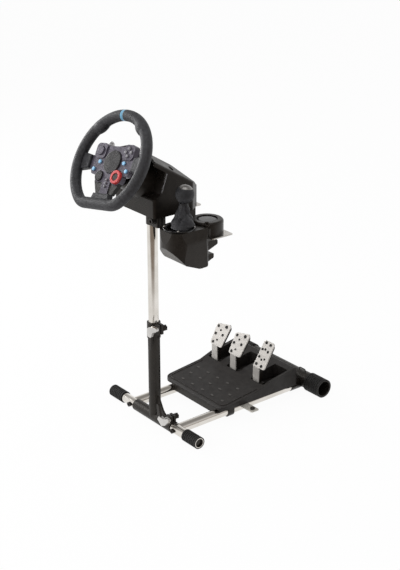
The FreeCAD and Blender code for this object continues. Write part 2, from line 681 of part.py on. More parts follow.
def clamp_set(name, x, z, ear_half, front, turn, flip, handle_turn):
    """Bolt with a cast cam and its handle standing off in front and a knob behind."""
    shank = deep(x, z, -front - CAM_T / 2, ear_half + CLAMP_BOLT_R, CLAMP_BOLT_R).fuse(
        deep(x, z, -front - CAM_T / 4, -ear_half - RUN_GAP, CLAMP_HUB_R))
    turned = Placement(Vector(), Rotation(Z_AXIS, turn))
    points = [turned.multVec(Vector(u, flip * v, 0) * CAM_R) for u, v in CAM_SHAPE]
    cam = prism_y([(x + q.x, z + q.y, CAM_R / 4) for q in points], -front - CAM_T, -front)
    parts[name + "_lever"] = cam.fuse(shank).removeSplitter()
    root = turned.multVec(Vector(-CAM_R / 3, -flip * CAM_R, 0))
    grip = prism_y([(-HANDLE_W / 2, 0), (HANDLE_W / 2, 0), (HANDLE_W / 2.4, HANDLE_L / 2, HANDLE_L),
                    (HANDLE_TIP / 2, HANDLE_L, HANDLE_TIP / 2.2),
                    (-HANDLE_TIP / 2, HANDLE_L, HANDLE_TIP / 2.2),
                    (-HANDLE_W / 2.4, HANDLE_L / 2, HANDLE_L)], -HANDLE_T / 2, HANDLE_T / 2)
    start = Vector(x + root.x, -front - CAM_T / 2, z + root.y)
    grip = moved(grip, Placement(start, Rotation(Y_AXIS, handle_turn)))
    parts[name + "_handle"] = grip.cut(cam)
    knob = deep(x, z, ear_half, ear_half + CLAMP_KNOB_L, CLAMP_KNOB_R)
    for i in range(KNOB_FLUTES):
        a = 2 * math.pi * i / KNOB_FLUTES
        flute_x, flute_z = x + math.cos(a) * CLAMP_KNOB_R * 1.15, z + math.sin(a) * CLAMP_KNOB_R * 1.15
        knob = knob.cut(deep(flute_x, flute_z, ear_half - 1, ear_half + CLAMP_KNOB_L + 1, CLAMP_KNOB_R * 0.3))
    bolt_room = deep(x, z, ear_half, ear_half + CLAMP_BOLT_R + 1, CLAMP_BOLT_R + RUN_GAP)
    parts[name + "_knob"] = knob.cut(bolt_room)


def make_mast():
    sleeve_half = RAIL_X - TUBE_R - SLEEVE_END
    sleeve = across(-sleeve_half, sleeve_half, 0, FRONT_Z, MAST_R)
    mast = upright(0, 0, FRONT_Z, MAST_TOP, MAST_R).fuse(sleeve)
    ear_x1 = sleeve_half - SLEEVE_END
    ear_x0 = ear_x1 - EAR_W
    web_x, web_top = MAST_R + WEB_REACH, FRONT_Z + MAST_R + WEB_RISE
    web = prism_y([(TUBE_R / 2, FRONT_Z), (web_x, FRONT_Z), (web_x, FRONT_Z + MAST_R + 2),
                   ((MAST_R + web_x) / 2, FRONT_Z + MAST_R + WEB_RISE / 6, WEB_RISE / 2),
                   (MAST_R + 2, web_top), (TUBE_R / 2, web_top)], -WEB_T / 2, WEB_T / 2)
    ear_top = FRONT_Z + MAST_R + EAR_RISE
    ears = box(ear_x0, ear_x1, -EAR_DEPTH / 2, EAR_DEPTH / 2, FRONT_Z, ear_top).cut(
        box(ear_x0 - 1, ear_x1 + 1, -EAR_SPLIT / 2, EAR_SPLIT / 2, FRONT_Z + MAST_R - MAST_WALL, ear_top + 1))
    mast = mast.fuse(web).fuse(ears)
    mast = mast.cut(upright(0, 0, FRONT_Z + MAST_R, MAST_TOP + 1, TUBE_R + SLIDE_GAP))
    mast = mast.cut(across(-FRONT_HALF, FRONT_HALF, 0, FRONT_Z, TUBE_R + SLIDE_GAP))
    fold_x, fold_z = (ear_x0 + ear_x1) / 2, FRONT_Z + MAST_R + EAR_RISE / 2
    hole = CLAMP_BOLT_R + RUN_GAP
    parts["lower_mast"] = mast.cut(deep(fold_x, fold_z, -EAR_DEPTH, EAR_DEPTH, hole)).removeSplitter()
    cam_stand = TUBE_R + BOLT_HEAD_H + SWING_ROOM
    clamp_set("fold", fold_x, fold_z, EAR_DEPTH / 2, cam_stand, FOLD_CAM_TURN, -1, FOLD_HANDLE_TURN)

    collar_z, collar_r = MAST_TOP - COLLAR_H, MAST_R + COLLAR_WALL
    ear_end = collar_r + COLLAR_EAR
    collar = upright(0, 0, collar_z, MAST_TOP, collar_r).fuse(
        box(0, ear_end, -EAR_DEPTH / 2, EAR_DEPTH / 2, MAST_TOP - COLLAR_EAR_H, MAST_TOP))
    collar = collar.cut(upright(0, 0, collar_z - 1, MAST_TOP + 1, MAST_R + JOINT_GAP))
    split = box(MAST_R - 1, ear_end + 1, -EAR_SPLIT / 2, EAR_SPLIT / 2, collar_z - 1, MAST_TOP + 1)
    collar = collar.cut(split)
    bolt_x, bolt_z = collar_r + COLLAR_EAR / 2, MAST_TOP - COLLAR_EAR_H / 2
    parts["height_collar"] = collar.cut(deep(bolt_x, bolt_z, -EAR_DEPTH, EAR_DEPTH, hole)).removeSplitter()
    clamp_set("height", bolt_x, bolt_z, EAR_DEPTH / 2, collar_r + SWING_ROOM, 0, 1, HEIGHT_HANDLE_TURN)


def make_deck():
    socket_top = DECK_Z - DECK_T - HEAD_T
    socket_r = TUBE_R + SOCKET_WALL
    tube_top = socket_top - SOCKET_WALL
    parts["upper_tube"] = tube((0, 0, UPPER_BOTTOM), (0, 0, tube_top), TUBE_R, TUBE_R - TUBE_WALL)
    head = plate(-HEAD_HALF_X, HEAD_HALF_X, -HEAD_HALF_Y, HEAD_HALF_Y, socket_top, DECK_Z - DECK_T,
                 HEAD_ROUND)
    block_x = socket_r + CLAMP_BLOCK
    block = prism_z([(0, -TUBE_R), (block_x, -TUBE_R, BLOCK_ROUND), (block_x, TUBE_R, BLOCK_ROUND),
                     (0, TUBE_R)], socket_top - SOCKET_H, socket_top)
    bracket = join([upright(0, 0, socket_top - SOCKET_H, socket_top, socket_r), block, head])
    bracket = bracket.cut(upright(0, 0, socket_top - SOCKET_H - 1, tube_top, TUBE_R + JOINT_GAP))
    slot = box(TUBE_R, block_x + 1, -EAR_SPLIT / 2, EAR_SPLIT / 2,
               socket_top - SOCKET_H - 1, socket_top - SOCKET_WALL)
    parts["deck_bracket"] = bracket.cut(slot).removeSplitter()
    knob_x, knob_z = socket_r + CLAMP_BLOCK / 2, socket_top - SOCKET_H / 2
    knob_y = -TUBE_R - SEAT_GAP
    knob = deep(knob_x, knob_z, knob_y - DECK_KNOB_L, knob_y, DECK_KNOB_R)
    parts["deck_knob"] = knob.cut(deep(knob_x, knob_z, knob_y - DECK_KNOB_L - 1, knob_y - DECK_KNOB_L * 0.7,
                                       DECK_KNOB_R * 0.45))
    parts["deck_plate"] = plate(-DECK_HALF, DECK_HALF, DECK_FRONT, DECK_BACK, DECK_Z - DECK_T, DECK_Z,
                                DECK_ROUND)


def roof_section(inset, low):
    """Crowned roof outline across the steering axis, down to the level low."""
    half, edge, crown = HOUSING_HALF - inset, ROOF_EDGE_H - inset, ROOF_H - inset
    return [(-half, low), (half, low), (half, edge, ROOF_EDGE_ROUND), (CROWN_HALF, crown, CROWN_SIDE_ROUND),
            (-CROWN_HALF, crown, CROWN_SIDE_ROUND), (-half, edge, ROOF_EDGE_ROUND)]


def housing_solid(inset):
    """Body of the wheel housing, drawn in by the inset on every side."""
    half, rear, lip_y = HOUSING_HALF - inset, HOUSING_REAR - inset, HOUSING_LIP_Y + inset
    lip_z, ledge_z = HOUSING_LIP_Z - inset, HOUSING_LIP_Z + LEDGE - inset
    high = RIM_Z + ROOF_H
    front_y = HOUSING_FRONT + inset
    top_y = front_y + (high - ledge_z) * math.tan(math.radians(FRONT_LEAN))
    profile = [(lip_y, DECK_Z + inset), (rear, DECK_Z + inset), (rear, high), (top_y, high),
               (front_y, ledge_z), (lip_y + LIP_TOP_IN, lip_z, LIP_TOP_ROUND), (lip_y, lip_z - LIP_TOP_DROP)]
    body = prism_x(profile, -half, half)
    plan = [(-half, lip_y, HOUSING_FRONT_ROUND), (half, lip_y, HOUSING_FRONT_ROUND),
            (half, SIDE_BACK, SIDE_BACK_ROUND), (REAR_HALF - inset, rear, HOUSING_REAR_ROUND),
            (-REAR_HALF + inset, rear, HOUSING_REAR_ROUND), (-half, SIDE_BACK, SIDE_BACK_ROUND)]
    body = body.common(prism_z(plan, DECK_Z, high))
    depth = 4 * HOUSING_HALF
    edge, crown = ROOF_EDGE_H - inset, ROOF_H - inset
    fall = prism_x([(-depth, 0), (crown, 0), (crown, -CROWN_BEND, CROWN_ROUND), (edge, -CROWN_END),
                    (edge, -depth), (-depth, -depth)], -half, half)
    roof = prism_z(roof_section(inset, -depth), -depth, 0).common(fall)
    return body.common(moved(roof, AXIS_PLACE))


def make_housing():
    hollow = housing_solid(HOUSING_WALL)
    shell = housing_solid(0).cut(hollow)
    visor_back = VISOR_FRONT + VISOR_L
    skirt = ROOF_EDGE_H - VISOR_SKIRT
    visor = prism_z(roof_section(0, skirt), -visor_back, -VISOR_FRONT).cut(
        prism_z(roof_section(VISOR_T, skirt - 1), -visor_back - 1, -VISOR_FRONT + 1))
    neck = Part.makeCone(NECK_R, NECK_BASE_R, NECK_L, Vector(0, 0, -NECK_FRONT), Vector(0, 0, -1))
    bosses = [upright(s * SCREW_X, SCREW_T, SCREW_FLOOR - HOUSING_WALL, ROOF_H, SCREW_WELL_R + HOUSING_WALL)
              for s in (-1, 1)]
    wells = [upright(s * SCREW_X, SCREW_T, SCREW_FLOOR, ROOF_H + 1, SCREW_WELL_R) for s in (-1, 1)]
    raised = Placement(Vector(), Rotation(X_AXIS, -90))
    housing = shell.fuse(moved(visor, AXIS_PLACE)).fuse(moved(neck, AXIS_PLACE).cut(hollow))
    for boss in bosses:
        housing = housing.fuse(moved(moved(boss, raised), AXIS_PLACE).common(housing_solid(0)))
    for well in wells:
        housing = housing.cut(moved(moved(well, raised), AXIS_PLACE))
    bore = upright(0, 0, -NECK_FRONT - SHAFT_DEPTH - SHAFT_END, -NECK_FRONT + 1, SHAFT_R + SLIDE_GAP)
    parts["wheel_housing"] = housing.cut(moved(bore, AXIS_PLACE)).removeSplitter()


def pod_solid(inset):
    """Body of the gear lever unit, drawn in by the inset on every side."""
    half, front, back = POD_HALF - inset, POD_FRONT + inset, POD_BACK - inset
    top, low = POD_TOP - inset, POD_BOTTOM + inset
    plan = [(SHIFT_X - half, front, POD_ROUND - inset), (SHIFT_X + half, front, POD_ROUND - inset),
            (SHIFT_X + half, back, POD_BACK_ROUND - inset), (SHIFT_X - half, back, POD_SHELF_ROUND)]
    profile = [(front + POD_TOP_IN, top), (front, POD_BELLY_Z, POD_BELLY_ROUND),
               (front, POD_CHIN_Z + inset, POD_CHIN_ROUND), (POD_KNEE_Y, POD_KNEE_Z + inset, POD_KNEE_ROUND),
               (POD_HEEL_Y, low, POD_HEEL_ROUND), (back, low, POD_LOW_ROUND), (back, top)]
    right = [(half - POD_LOW_IN, low), (half, POD_BELLY_Z, POD_SIDE_ROUND), (half - POD_TOP_IN, top)]
    section = [(SHIFT_X + x, *rest) for x, *rest in right]
    section += [(SHIFT_X - x, *rest) for x, *rest in reversed(right)]
    body = prism_z(plan, low, top).common(prism_x(profile, SHIFT_X - half, SHIFT_X + half))
    return body.common(prism_y(section, front, back))


def make_shifter():
    hollow = pod_solid(POD_WALL)
    pod = pod_solid(0).cut(hollow)
    drum = upright(SHIFT_X, DRUM_Y, SHELF_Z, DRUM_TOP, DRUM_R)
    drum = round_level(drum, DRUM_TOP, DRUM_EDGE)
    bridge = box(SHIFT_X - DRUM_R * 0.9, SHIFT_X + DRUM_R * 0.9, POD_BACK - POD_WALL, DRUM_Y, SHELF_Z,
                 POD_TOP - SHOULDER_DROP)
    rear = drum.fuse(bridge).cut(upright(SHIFT_X, DRUM_Y, DRUM_TOP - DRUM_WELL, DRUM_TOP + 1, DRUM_WELL_R))
    pivot_z = POD_TOP - PIVOT_DEPTH
    shelf_top = pivot_z - CRADLE_DROP
    cradle = box(SHIFT_X - POD_HALF, SHIFT_X + POD_HALF, POD_FRONT, POD_BACK, shelf_top - POD_WALL, shelf_top)
    cradle = cradle.common(pod_solid(POD_WALL / 2))
    for s in (-1, 1):
        y = SHIFT_Y + s * CRADLE_Y
        cradle = cradle.fuse(box(SHIFT_X - HUB_BALL_R, SHIFT_X + HUB_BALL_R, y - CRADLE_T / 2,
                                 y + CRADLE_T / 2, shelf_top - 1, pivot_z + HUB_BALL_R - 1))
    pegs = [upright(SHIFT_X + s * PEG_X, POD_HEEL_Y + PEG_Y, POD_BOTTOM - PEG_L,
                    POD_BOTTOM + POD_WALL / 2, PEG_R) for s in (-1, 1)]
    pod = join([pod, rear.cut(hollow), cradle] + pegs)
    pod = pod.cut(upright(SHIFT_X, SHIFT_Y, POD_TOP - POD_WALL - 1, POD_TOP + 1, MOUTH_R))
    parts["shifter_pod"] = pod.cut(deep(SHIFT_X, pivot_z, SHIFT_Y - CRADLE_Y - CRADLE_T,
                                        SHIFT_Y + CRADLE_Y + CRADLE_T, GIMBAL_PIN_R + RUN_GAP))
    ring = tube((SHIFT_X, SHIFT_Y, POD_TOP), (SHIFT_X, SHIFT_Y, POD_TOP + RING_T), RING_R, MOUTH_R)
    parts["boot_ring"] = round_level(ring, POD_TOP + RING_T, RING_T * 0.35)
    x0, x1 = SHIFT_X + JAW_X - JAW_W / 2, SHIFT_X + JAW_X + JAW_W / 2
    upper = SHELF_Z - SHELF_T - JAW_GAP
    lower = upper - JAW_PITCH
    parts["shelf_jaws"] = Part.makeCompound([
        prism_x([(POD_BACK, upper), (POD_BACK + JAW_L, upper, JAW_ROUND),
                 (POD_BACK + JAW_L, upper - JAW_T, JAW_ROUND),
                 (POD_BACK, upper - 2 * JAW_T)], x0, x1),
        prism_x([(POD_BACK, lower), (POD_BACK + JAW_L * 0.6, lower, LOW_JAW_ROUND),
                 (POD_BACK + JAW_L * 0.6, lower - JAW_T, LOW_JAW_ROUND),
                 (POD_BACK, lower - 1.6 * JAW_T)], x0, x1)])
    parts["shelf_plate"] = plate(SHELF_LEFT, SHELF_RIGHT, SHELF_FRONT, SHELF_BACK,
                                 SHELF_Z - SHELF_T, SHELF_Z, SHELF_ROUND)
    parts["shelf_post"] = box(SHELF_LEFT, SHELF_LEFT + POST_W, POST_Y - POST_D / 2, POST_Y + POST_D / 2,
                              SHELF_Z, DECK_Z - DECK_T)


def make_lever():
    pivot = Vector(SHIFT_X, SHIFT_Y, POD_TOP - PIVOT_DEPTH)
    ball_at = pivot + Vector(KNOB_DX, KNOB_DY, KNOB_RISE)
    lean = (ball_at - pivot).normalize()
    stem = cyl(pivot, ball_at - lean * (KNOB_R - 1.0), LEVER_R)
    eye = across(pivot.x - HUB_BALL_R, pivot.x + HUB_BALL_R, pivot.y, pivot.z, HUB_BALL_R)
    pin_room = across(pivot.x - 2 * HUB_BALL_R, pivot.x + 2 * HUB_BALL_R, pivot.y, pivot.z,
                      GIMBAL_PIN_R + RUN_GAP)
    parts["lever_shaft"] = stem.fuse(eye).cut(pin_room).removeSplitter()
    above = cyl(ball_at + lean * (KNOB_R - CAP_H), ball_at + lean * 2 * KNOB_R, 2 * KNOB_R)
    parts["knob"] = Part.makeSphere(KNOB_R, ball_at).cut(above).cut(stem)
    parts["knob_cap"] = Part.makeSphere(KNOB_R - RUN_GAP, ball_at).common(above)
    cheek_in = HUB_BALL_R + RUN_GAP
    cheek_out, frame_y = cheek_in + GIMBAL_T, CRADLE_Y - CRADLE_T / 2 - 1.5
    low, floor = -HUB_BALL_R - GIMBAL_T - GIMBAL_DROP, -HUB_BALL_R - GIMBAL_DROP
    gimbal = box(-cheek_out, cheek_out, -frame_y, frame_y, low, floor)
    gimbal = gimbal.fuse(across(-cheek_out, cheek_out, 0, 0, GIMBAL_PIN_R))
    for s in (-1, 1):
        cheek = box(cheek_in, cheek_out, -frame_y, frame_y, low, HUB_BALL_R)
        gimbal = gimbal.fuse(cheek if s > 0 else mirrored(cheek))
        wall_y = sorted((s * (HUB_BALL_R + 1), s * frame_y))
        gimbal = gimbal.fuse(box(-cheek_out, cheek_out, wall_y[0], wall_y[1], low, GIMBAL_PIN_R + 1))
        gimbal = gimbal.fuse(cyl((0, s * (frame_y - 1), 0), (0, s * (CRADLE_Y + CRADLE_T / 2), 0),
                                 GIMBAL_PIN_R))
    gimbal.translate(pivot)
    parts["lever_gimbal"] = gimbal.removeSplitter()
    parts["shifter_boot"] = boot_loft(pivot, lean, 0).cut(boot_loft(pivot, lean, BOOT_T))


def boot_loft(pivot, lean, inset):
    """Soft sleeve that narrows from the mouth of the pod up to the lever."""
    wide, narrow = MOUTH_R - SEAT_GAP * 2, LEVER_R + BOOT_T + BOOT_SLACK
    wires = []
    for h, share in ((0.0, 1.0), (0.3, 0.74), (0.65, 0.28), (1.0, 0.0)):
        z = POD_TOP + SEAT_GAP * 2 + h * BOOT_H
        on_lever = pivot + lean * ((z - pivot.z) / lean.z)
        over_mouth = Vector(pivot.x, pivot.y, z)
        centre = over_mouth + (on_lever - over_mouth) * h
        wires.append(Part.Wire(Part.makeCircle(narrow + (wide - narrow) * share - inset, centre)))
    return Part.makeLoft(wires, True)


def rim_solids():
    """Flat-bottomed grip in the wheel's own plane, and the band at its top."""
    corner_d = RIM_R - FLAT_CORNER_R
    corner_y = FLAT_CORNER_R - FLAT_V
    corner_x = math.sqrt(corner_d ** 2 - corner_y ** 2)
    corner_a = math.degrees(math.atan2(corner_y, corner_x))
    start = Part.Face(Part.Wire(Part.makeCircle(GRIP_R, Vector(RIM_R, 0, 0), Y_AXIS)))
    start.rotate(Vector(), Z_AXIS, corner_a)
    arc = start.revolve(Vector(), Z_AXIS, 180 - 2 * corner_a)
    corner = start.revolve(Vector(corner_x, corner_y, 0), Z_AXIS, -90 - corner_a)
    straight = across(-corner_x, corner_x, -FLAT_V, 0, GRIP_R)
    bow = Part.ArcOfEllipse(Part.Ellipse(Vector(), THUMB_L, THUMB_R), 0, math.pi).toShape()
    half = Part.Face(Part.Wire([bow, Part.makeLine(Vector(-THUMB_L, 0, 0), Vector(THUMB_L, 0, 0))]))
    rest = half.revolve(Vector(), X_AXIS, 360)
    rest.rotate(Vector(), Z_AXIS, 90)
    rest.translate(Vector(RIM_R - THUMB_IN, 0, 0))
    rest.rotate(Vector(), Z_AXIS, THUMB_ANGLE)
    rim = join([arc, corner, mirrored(corner), straight, rest, mirrored(rest)])
    zone = box(-BAND_W / 2, BAND_W / 2, RIM_R - 2 * GRIP_R, RIM_R + 2 * GRIP_R, -2 * GRIP_R, 2 * GRIP_R)
    room = Part.makeTorus(RIM_R, GRIP_R + JOINT_GAP).fuse(
        across(-corner_x, corner_x, -FLAT_V, 0, GRIP_R + JOINT_GAP))
    return rim.cut(zone), rim.common(zone), room


def cover_solids():
    """Leather-bound ends of the three spokes, rounded front and back."""
    low, high = FACE_W - FACE_T + PANEL_DROP, FACE_W + COVER_RISE
    side = prism_z([(SPOKE_START, -SPOKE_HALF), (RIM_R, -SPOKE_HALF - SPOKE_FLARE),
                    (RIM_R, SPOKE_HALF + SPOKE_FLARE), (SPOKE_START, SPOKE_HALF)], low, high)
    foot_half = LOW_COVER_HALF + SPOKE_FLARE
    bottom = prism_z([(-LOW_COVER_HALF, -LOW_SPOKE_END), (-foot_half, -FLAT_V), (foot_half, -FLAT_V),
                      (LOW_COVER_HALF, -LOW_SPOKE_END)], low, high)
    covers = (side, mirrored(side), bottom)
    return [round_level(round_level(c, high, COVER_EDGE), low, COVER_EDGE) for c in covers]


def make_wheel():
    rim, band, grip_room = rim_solids()
    back_w = FACE_W - FACE_T
    wing_y = HUB_WING_LOW - SPOKE_HALF / 8
    right = [(HUB_FOOT, HUB_LOW, HUB_FOOT_ROUND), (HUB_WAIST, wing_y, HUB_WAIST_ROUND),
             (HUB_HALF, HUB_WING_LOW, HUB_WING_ROUND), (HUB_HALF, SPOKE_HALF - 1, HUB_WAIST_ROUND),
             (HUB_HALF / 2, HUB_HIGH, HUB_TOP_ROUND)]
    hub = prism_z(right + [(-x, y, r) for x, y, r in reversed(right)], back_w, FACE_W)
    dial_seat = upright(DIAL_X, DIAL_Y, back_w, FACE_W, DIAL_R + DIAL_RIM)
    selector_seat = upright(-DIAL_X, DIAL_Y, back_w, FACE_W, SELECTOR_R + DIAL_RIM)
    pods = [plate(s * PAD_X - PAD_HALF, s * PAD_X + PAD_HALF, PAD_Y - PAD_HALF, PAD_Y + PAD_HALF, back_w,
                  FACE_W + PAD_RISE, PAD_ROUND) for s in (-1, 1)]
    spokes = box(-SPOKE_START, SPOKE_START, -SPOKE_HALF, SPOKE_HALF, back_w, FACE_W)
    low_spoke = box(-LOW_SPOKE_HALF, LOW_SPOKE_HALF, -LOW_SPOKE_END, 0, back_w, FACE_W)
    face = join([hub, dial_seat, selector_seat, spokes, low_spoke] + pods)
    dial_room = upright(DIAL_X, DIAL_Y, FACE_W - DIAL_DEPTH - RUN_GAP, FACE_W + RIM_R, DIAL_R + DIAL_ROOM)
    parts["rim"] = moved(rim, WHEEL_PLACE)
    parts["rim_band"] = moved(band, WHEEL_PLACE)
    parts["spoke_plate"] = moved(face.cut(dial_room), WHEEL_PLACE)
    parts["spoke_covers"] = moved(Part.makeCompound([c.cut(grip_room) for c in cover_solids()]), WHEEL_PLACE)
    panel = prism_z([(-PANEL_HALF, -PANEL_TOP, PANEL_ROUND), (-LOW_COVER_HALF, -LOW_SPOKE_END),
                     (LOW_COVER_HALF, -LOW_SPOKE_END), (PANEL_HALF, -PANEL_TOP, PANEL_ROUND), (0, 0)],
                    back_w, FACE_W - PANEL_DROP)
    parts["lower_panel"] = moved(panel.cut(face).cut(dial_room), WHEEL_PLACE)
    hub_disc = button(HUB_X, HUB_Y, FACE_W, FACE_W + HUB_T, HUB_R, HUB_T * 0.4)
    selector = button(-DIAL_X, DIAL_Y, FACE_W, FACE_W + HUB_T, SELECTOR_R, HUB_T * 0.4)
    discs = Part.makeCompound([hub_disc.cut(dial_room), selector.cut(hub_disc)])
    parts["hub_disc"] = moved(discs, WHEEL_PLACE)
    pod_w = FACE_W + PAD_RISE
    blue = [button(s * x, y, FACE_W, FACE_W + BLUE_H, BLUE_R, BLUE_EDGE)
            for s in (-1, 1) for x, y in BLUE_PLACES]
    parts["blue_buttons"] = moved(Part.makeCompound([b.cut(hub_disc) for b in blue]), WHEEL_PLACE)
    parts["pad_button"] = moved(button(-PAD_X, PAD_Y, pod_w, pod_w + BUTTON_H, PAD_R, PAD_EDGE), WHEEL_PLACE)
    ring = [button(PAD_X + BUTTON_RING * math.cos(a), PAD_Y + BUTTON_RING * math.sin(a), pod_w,
                   pod_w + BUTTON_H, BUTTON_R, BUTTON_EDGE)
            for a in (0, math.pi / 2, math.pi, 3 * math.pi / 2)]
    low = [button(0, y, FACE_W, FACE_W + BUTTON_H, LOW_BUTTON_R, LOW_BUTTON_EDGE) for y in LOW_BUTTONS]
    parts["small_buttons"] = moved(Part.makeCompound(ring + low), WHEEL_PLACE)
    dial_top = FACE_W + DIAL_H
    dial = upright(DIAL_X, DIAL_Y, FACE_W - DIAL_DEPTH, dial_top, DIAL_R)
    dial = round_level(dial, dial_top, DIAL_EDGE)
    parts["dial"] = moved(dial.cut(upright(DIAL_X, DIAL_Y, dial_top - DIAL_WELL, dial_top + 1, DIAL_WELL_R)),
                          WHEEL_PLACE)
    centre = button(DIAL_X, DIAL_Y, dial_top - DIAL_WELL, dial_top - 1, DIAL_WELL_R - DIAL_EDGE,
                    DIAL_CENTRE_EDGE)
    parts["dial_centre"] = moved(centre, WHEEL_PLACE)


def make_column():
    """Shaft behind the wheel, with lugs for the shift paddles."""
    back_w = FACE_W - FACE_T
    paddle_w = back_w - PADDLE_DROP
    back = upright(0, 0, back_w - BACK_T, back_w, BACK_R)
    back = back.fuse(upright(0, 0, -NECK_FRONT - SHAFT_DEPTH, back_w - BACK_T, SHAFT_R))
    eye_r = PADDLE_T
    for s in (-1, 1):
        for side in (-1, 1):
            y = PADDLE_Y + side * (PADDLE_HALF + RUN_GAP + LUG_T / 2)
            lug = box(BACK_R - LUG_T, PADDLE_X + eye_r, y - LUG_T / 2, y + LUG_T / 2,
                      paddle_w - eye_r, paddle_w + eye_r)
            back = back.fuse(lug if s > 0 else mirrored(lug))
        back = back.fuse(cyl((s * PADDLE_X, PADDLE_Y - PADDLE_HALF - LUG_T, paddle_w),
                             (s * PADDLE_X, PADDLE_Y + PADDLE_HALF + LUG_T, paddle_w), PADDLE_PIN_R))
    parts["wheel_shaft"] = moved(back.removeSplitter(), WHEEL_PLACE)
    root = PADDLE_X + eye_r + 2
    edge, tip = -root - PADDLE_SPAN, PADDLE_Y + PADDLE_RISE
    corners = [(-root, PADDLE_Y - PADDLE_FALL), (-root, PADDLE_Y + PADDLE_RISE / 2),
               (-root - PADDLE_SPAN / 8, tip - PADDLE_T * 2), (-root - PADDLE_SPAN / 2.5, tip),
               (edge + PADDLE_SPAN / 7, PADDLE_Y + PADDLE_RISE / 2), (edge, PADDLE_Y - PADDLE_T),
               (edge + PADDLE_SPAN / 7, PADDLE_Y - PADDLE_FALL)]
    blade = prism_z([(x, y, r) for (x, y), r in zip(corners, PADDLE_ROUNDS)],
                    paddle_w - PADDLE_T / 2, paddle_w + PADDLE_T / 2)
    low, high = PADDLE_Y - PADDLE_HALF, PADDLE_Y + PADDLE_HALF
    blade = blade.fuse(box(-root - PADDLE_LAP, -PADDLE_X, low, high, paddle_w - PADDLE_T / 2,
                           paddle_w + PADDLE_T / 2))
    blade = blade.fuse(cyl((-PADDLE_X, low, paddle_w), (-PADDLE_X, high, paddle_w), eye_r))
    blade = blade.cut(cyl((-PADDLE_X, low - 1, paddle_w), (-PADDLE_X, high + 1, paddle_w),
                          PADDLE_PIN_R + RUN_GAP))
    blade = blade.removeSplitter()
    parts["left_paddle"] = moved(blade, WHEEL_PLACE)
    parts["right_paddle"] = moved(mirrored(blade), WHEEL_PLACE)


for make in (make_base, make_pedal_fixings, make_pedal_base, make_pedals, make_mast, make_deck, make_housing,
             make_shifter, make_lever, make_wheel, make_column):
    make()

# Move the origin to the middle of the footprint and write the pieces
room = Part.makeCompound(list(parts.values())).optimalBoundingBox(False, False)
shift = Vector(-(room.XMin + room.XMax) / 2, -(room.YMin + room.YMax) / 2, -room.ZMin)
size = [round(c, 2) for c in (room.XLength, room.YLength, room.ZLength)]
print("shift", [round(c, 4) for c in shift], "size", size)
os.makedirs("parts", exist_ok=True)
for name, shape in parts.items():
    out = shape.copy()
    out.translate(shift)
    out.exportStep("parts/" + name + ".step")
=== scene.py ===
import json
import math
from functools import partial

import bmesh
import bpy
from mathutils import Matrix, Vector, noise
from mathutils.bvhtree import BVHTree


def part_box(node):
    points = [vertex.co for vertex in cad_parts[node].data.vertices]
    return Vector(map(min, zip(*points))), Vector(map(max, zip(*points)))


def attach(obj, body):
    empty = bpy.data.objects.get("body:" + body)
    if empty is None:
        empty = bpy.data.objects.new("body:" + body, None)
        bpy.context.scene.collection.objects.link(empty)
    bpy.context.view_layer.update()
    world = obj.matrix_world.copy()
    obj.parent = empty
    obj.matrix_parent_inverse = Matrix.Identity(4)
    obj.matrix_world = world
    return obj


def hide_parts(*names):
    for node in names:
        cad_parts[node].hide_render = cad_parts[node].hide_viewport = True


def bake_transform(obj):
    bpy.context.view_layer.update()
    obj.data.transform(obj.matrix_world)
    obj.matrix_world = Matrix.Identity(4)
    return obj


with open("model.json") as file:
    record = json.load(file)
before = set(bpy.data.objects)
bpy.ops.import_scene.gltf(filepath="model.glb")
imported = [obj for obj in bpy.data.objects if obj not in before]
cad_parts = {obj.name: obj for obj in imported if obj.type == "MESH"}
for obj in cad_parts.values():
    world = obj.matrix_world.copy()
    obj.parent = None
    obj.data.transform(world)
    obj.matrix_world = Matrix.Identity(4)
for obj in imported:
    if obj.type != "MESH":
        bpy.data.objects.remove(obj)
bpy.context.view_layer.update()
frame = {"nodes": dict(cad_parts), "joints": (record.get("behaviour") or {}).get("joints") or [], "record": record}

nodes = frame["nodes"]
joints = {j["name"]: j for j in frame["joints"]}
slots = {s["node"]: s["material_slot"] for s in frame["record"]["subparts"]}

# Lengths are in metres and angles in degrees, unless a comment says otherwise.
# Places on the stand are measured from the middle of the front tube, on the floor.
# The camera and the lamps stand in the shared frame.

# Camera
CAMERA_AT = (2.53349, -1.98901, 1.6855)
CAMERA_DOWN = 22.27
CAMERA_SIDE = 51.68
FOCAL_PX = 1288.97
PHOTO_H = 570            # pixels
SENSOR = 36.0            # millimetres

# Studio
FRONT_OF_STUDIO = (math.sin(math.radians(CAMERA_SIDE)), -math.cos(math.radians(CAMERA_SIDE)), 0.0)
FLOOR_HALF = 8.0
FLOOR_EDGE = (0.75, 1.3)         # stretch in front of the frame's origin where the white floor ends
FLOOR_GLOW = 0.95
FLOOR_PAINT = (0.9, 0.9, 0.9, 1)
ROOM_BROWN = (0.25, 0.2, 0.16, 1)
ROOM_FRONT = (-0.1, 0.6)         # how far to the front a direction points where the room starts and is full
ROOM_TOP = (0.75, 0.25)          # how steeply it climbs where the room ends and is full
CEILING = (0.3, 0.29, 0.28, 1)
CEILING_RISE = (0.3, 0.85)       # how steeply it climbs where the ceiling starts and is full
EVEN_LIGHT = (0.62, 0.62, 0.62, 1)
LAMP_AIM = (0.0, 0.0, 0.5)
LAMPS = {                        # place, width and watts
    "overhead": ((0.2, -0.3, 2.6), 1.6, 12),
    "side": ((-2.85, -0.85, 1.2), 1.2, 40),
    "front": ((-0.5, -2.7, 1.1), 1.2, 24),
}

